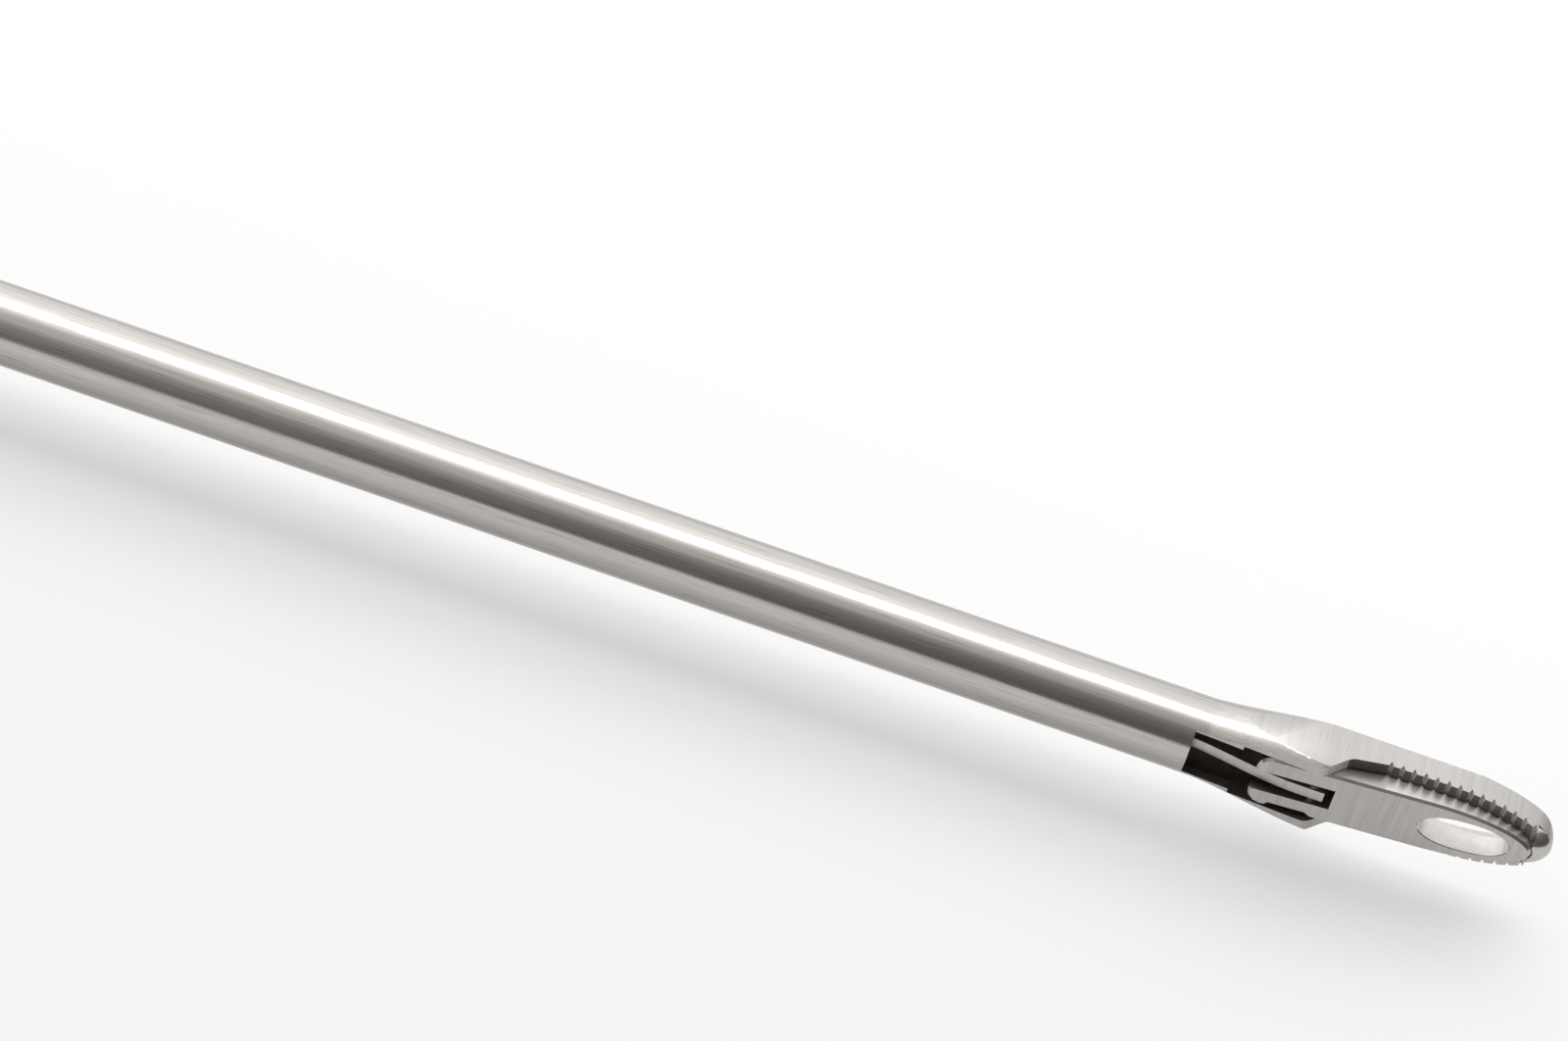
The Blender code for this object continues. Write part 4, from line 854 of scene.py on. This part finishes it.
def armPath(arm, steps=40):
    start = Vector(arm["start"])
    centre = Vector(arm["ring"])
    towards = (start - centre).normalized()
    end = centre + towards * (handles["ringBore"] + handles["ringBand"]) / 2
    across = Vector((-towards.y, towards.x))
    run = (end - start).length
    first = start - towards * run * handles["pulls"][0] + across * arm["bow"][0]
    second = end + towards * run * handles["pulls"][1] + across * arm["bow"][1]
    points = []
    for step in range(steps + 1):
        t = step / steps
        points.append(start * (1 - t) ** 3 + first * (3 * t * (1 - t) ** 2)
                      + second * (3 * t * t * (1 - t)) + end * t ** 3)
    return points


def addArmAndRing(name, arm):
    # forged in one: the arm's edges rounded over, and its foot run out into the ring
    path = armPath(arm)
    low = -handles["thickness"] / 2
    left, right = [], []
    for index, point in enumerate(path):
        ahead = path[min(index + 1, len(path) - 1)] - path[max(index - 1, 0)]
        across = Vector((-ahead.y, ahead.x)).normalized()
        taper = min(1, handles["taperRate"] * (index / (len(path) - 1)))
        width = arm["topWidth"] + (handles["ringEndWidth"] - arm["topWidth"]) * taper
        left.append(flatPoint(point + across * width / 2, low))
        right.append(flatPoint(point - across * width / 2, low))
    piece = drawSolid(name, left + right[::-1], (0, 0, handles["thickness"] * mm))
    finishWith(piece, "BEVEL", width=handles["edge"] * mm, segments=6, limit_method="ANGLE",
               angle_limit=math.radians(60))
    bpy.ops.object.select_all(action="DESELECT")
    band = handles["ringBand"] / 2
    bpy.ops.mesh.primitive_torus_add(location=flatPoint(arm["ring"]), major_segments=160,
                                     minor_segments=40, minor_radius=band * mm,
                                     major_radius=(handles["ringBore"] / 2 + band) * mm)
    ring = bpy.context.object
    bpy.ops.transform.resize(value=(1, 1, handles["ringWidth"] / handles["ringBand"]))
    bpy.ops.object.transform_apply(location=True, rotation=True, scale=True)
    carve(piece, ring, operation="UNION")
    finishWith(piece, "REMESH", mode="VOXEL", voxel_size=handles["voxel"] * mm)
    finishWith(piece, "SMOOTH", factor=0.5, iterations=handles["smoothing"])
    return piece


def roundedCorners(corners, radius, most=0.45, steps=8):
    # each corner becomes a curve, which takes up at most this share of a side
    points = []
    for index, corner in enumerate(corners):
        here = Vector(corner)
        before = Vector(corners[index - 1]) - here
        after = Vector(corners[(index + 1) % len(corners)]) - here
        run = radius / math.tan(before.angle(after) / 2)
        run = min(run, most * before.length, most * after.length)
        start = here + before.normalized() * run
        end = here + after.normalized() * run
        for step in range(steps + 1):
            share = step / steps
            points.append((start * (1 - share) + here * share) * (1 - share)
                          + (here * (1 - share) + end * share) * share)
    return points


def forkRoom():
    # the slot for the front handle, its front wall leaning as the open arm does
    path = armPath(fingerArm)
    lean = math.atan2(path[1].x - path[0].x, path[1].y - path[0].y)
    lean += math.radians(handles["opening"])
    side = handles["eye"] / 2 + forkSlot["slack"]
    edgeX = hingePoint[0] + side * math.cos(lean)
    edgeY = hingePoint[1] - side * math.sin(lean)
    slope = math.tan(lean)
    rear, front = forkSlot["rear"], forkSlot["front"]
    low, mouth = forkSlot["low"], forkSlot["mouth"]
    corners = [(rear, low), (front, low), (front, edgeY + (front - edgeX) / slope),
               (edgeX + (mouth - edgeY) * slope, mouth), (rear, mouth)]
    points = [flatPoint(corner, -forkSlot["half"]) for corner in corners]
    return drawSolid("forkRoom", points, (0, 0, 2 * forkSlot["half"] * mm))


def addRearHandle():
    look = handles
    outline = [flatPoint(point, -look["headHeight"] / 2)
               for point in roundedCorners(headCorners, look["headCorner"])]
    piece = drawSolid("rearHandle", outline, (0, 0, look["headHeight"] * mm))
    finishWith(piece, "BEVEL", width=look["edgeRound"] * mm, segments=4, limit_method="ANGLE",
               angle_limit=math.radians(60))
    carve(piece, addArmAndRing("thumbArm", thumbArm), operation="UNION")
    carve(piece, forkRoom(), *[addBore(name, *bore) for name, bore in headBores.items()])
    paint(piece, steels["satinForgedSteel"])
    seat(piece, "rear_handle", "rear_handle_and_shaft", 38)


def addFrontHandle():
    look = handles
    hingeX, hingeY = hingePoint
    low = -look["blade"] / 2
    tip = (fork["tipHeight"], fork["tipRadius"], 180, 360)
    eye = (hingeY, look["eye"] / 2, -35, 215)
    outline = []
    for centreY, radius, start, end in (tip, eye):
        for step in range(37):
            angle = math.radians(start + (end - start) * step / 36)
            outline.append(flatPoint((hingeX + radius * math.cos(angle),
                                      centreY + radius * math.sin(angle)), low))
    piece = drawSolid("frontHandle", outline, (0, 0, look["blade"] * mm))
    arm = addArmAndRing("fingerArm", fingerArm)
    carve(arm, addBore("upperFace", hingePoint, "Z", look["milled"], look["blade"] / 2, far),
          addBore("lowerFace", hingePoint, "Z", look["milled"], -far, low))
    carve(piece, arm, operation="UNION")
    carve(piece, addBlock("forkGap", flatPoint((hingeX - far, -far), -fork["gapHalf"]),
                          flatPoint((hingeX + far, fork["gapTop"]), fork["gapHalf"])),
          *[addBore(name, *bore) for name, bore in forkBores.items()])
    paint(piece, steels["satinForgedSteel"])
    seat(piece, "front_handle", "front_handle", 38)


addRearHandle()
addFrontHandle()


# Small parts: turned and ground, so they keep their solids' form, with joined faces and
# softened edges

turned = steels["turnedBrightSteel"]
# the body it moves with, its slot, its finish, and how far its edges are softened
smallParts = {
    "drive_strip": ("push_rod", "ground_steel", steels["crossGroundSteel"], 0.02),
    "drive_rod": ("push_rod", "ground_steel", steels["shaftBrushedSteel"], 0.0),
    "drive_spool": ("push_rod", "ground_steel", turned, 0.05),
    "spool_lock_nut": ("push_rod", "ground_steel", turned, 0.05),
    "strip_rivet_front": ("push_rod", "bright_steel", turned, 0.0),
    "strip_rivet_rear": ("push_rod", "bright_steel", turned, 0.0),
    "drive_pin_upper": ("front_handle", "bright_steel", turned, 0.0),
    "drive_pin_lower": ("front_handle", "bright_steel", turned, 0.0),
    "link_pin": ("cutting_jaw", "bright_steel", turned, 0.0),
    "jaw_pivot_pin": ("rear_handle_and_shaft", "bright_steel", turned, 0.0),
    "shaft_collar": ("rear_handle_and_shaft", "brushed_steel", steels["satinForgedSteel"], 0.08),
    "collar_set_screw": ("rear_handle_and_shaft", "bright_steel", turned, 0.05),
    "handle_pivot_screw": ("rear_handle_and_shaft", "bright_steel", turned, 0.06),
    "handle_pivot_nut": ("rear_handle_and_shaft", "bright_steel", turned, 0.06),
    "rinse_port": ("rear_handle_and_shaft", "bright_steel", turned, 0.10),
    "rod_end_cap": ("rear_handle_and_shaft", "bright_steel", turned, 0.08),
    "pivot_washer_upper": ("rear_handle_and_shaft", "bronze", bearingBronze, 0.0),
    "pivot_washer_lower": ("rear_handle_and_shaft", "bronze", bearingBronze, 0.0),
    "rod_guide_bush": ("rear_handle_and_shaft", "bronze", bearingBronze, 0.0),
    "rod_seal_ring": ("rear_handle_and_shaft", "seal", blackSilicone, 0.0),
}


def addSmallPart(node, body, slot, finish, edgeMm):
    words = node.split("_")
    name = words[0] + "".join(word.capitalize() for word in words[1:])
    piece = bpy.data.objects.new(name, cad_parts[node].data.copy())
    bpy.context.scene.collection.objects.link(piece)
    editAll(piece)
    bpy.ops.mesh.remove_doubles(threshold=0.0005 * mm)
    bpy.ops.mesh.dissolve_limited(angle_limit=math.radians(1))
    bpy.ops.object.mode_set(mode="OBJECT")
    if edgeMm:
        finishWith(piece, "BEVEL", width=edgeMm * mm, segments=2, limit_method="ANGLE",
                   angle_limit=math.radians(50))
    paint(piece, finish)
    seat(piece, node, body)


for partName, partLook in smallParts.items():
    addSmallPart(partName, *partLook)


bpy.context.view_layer.update()
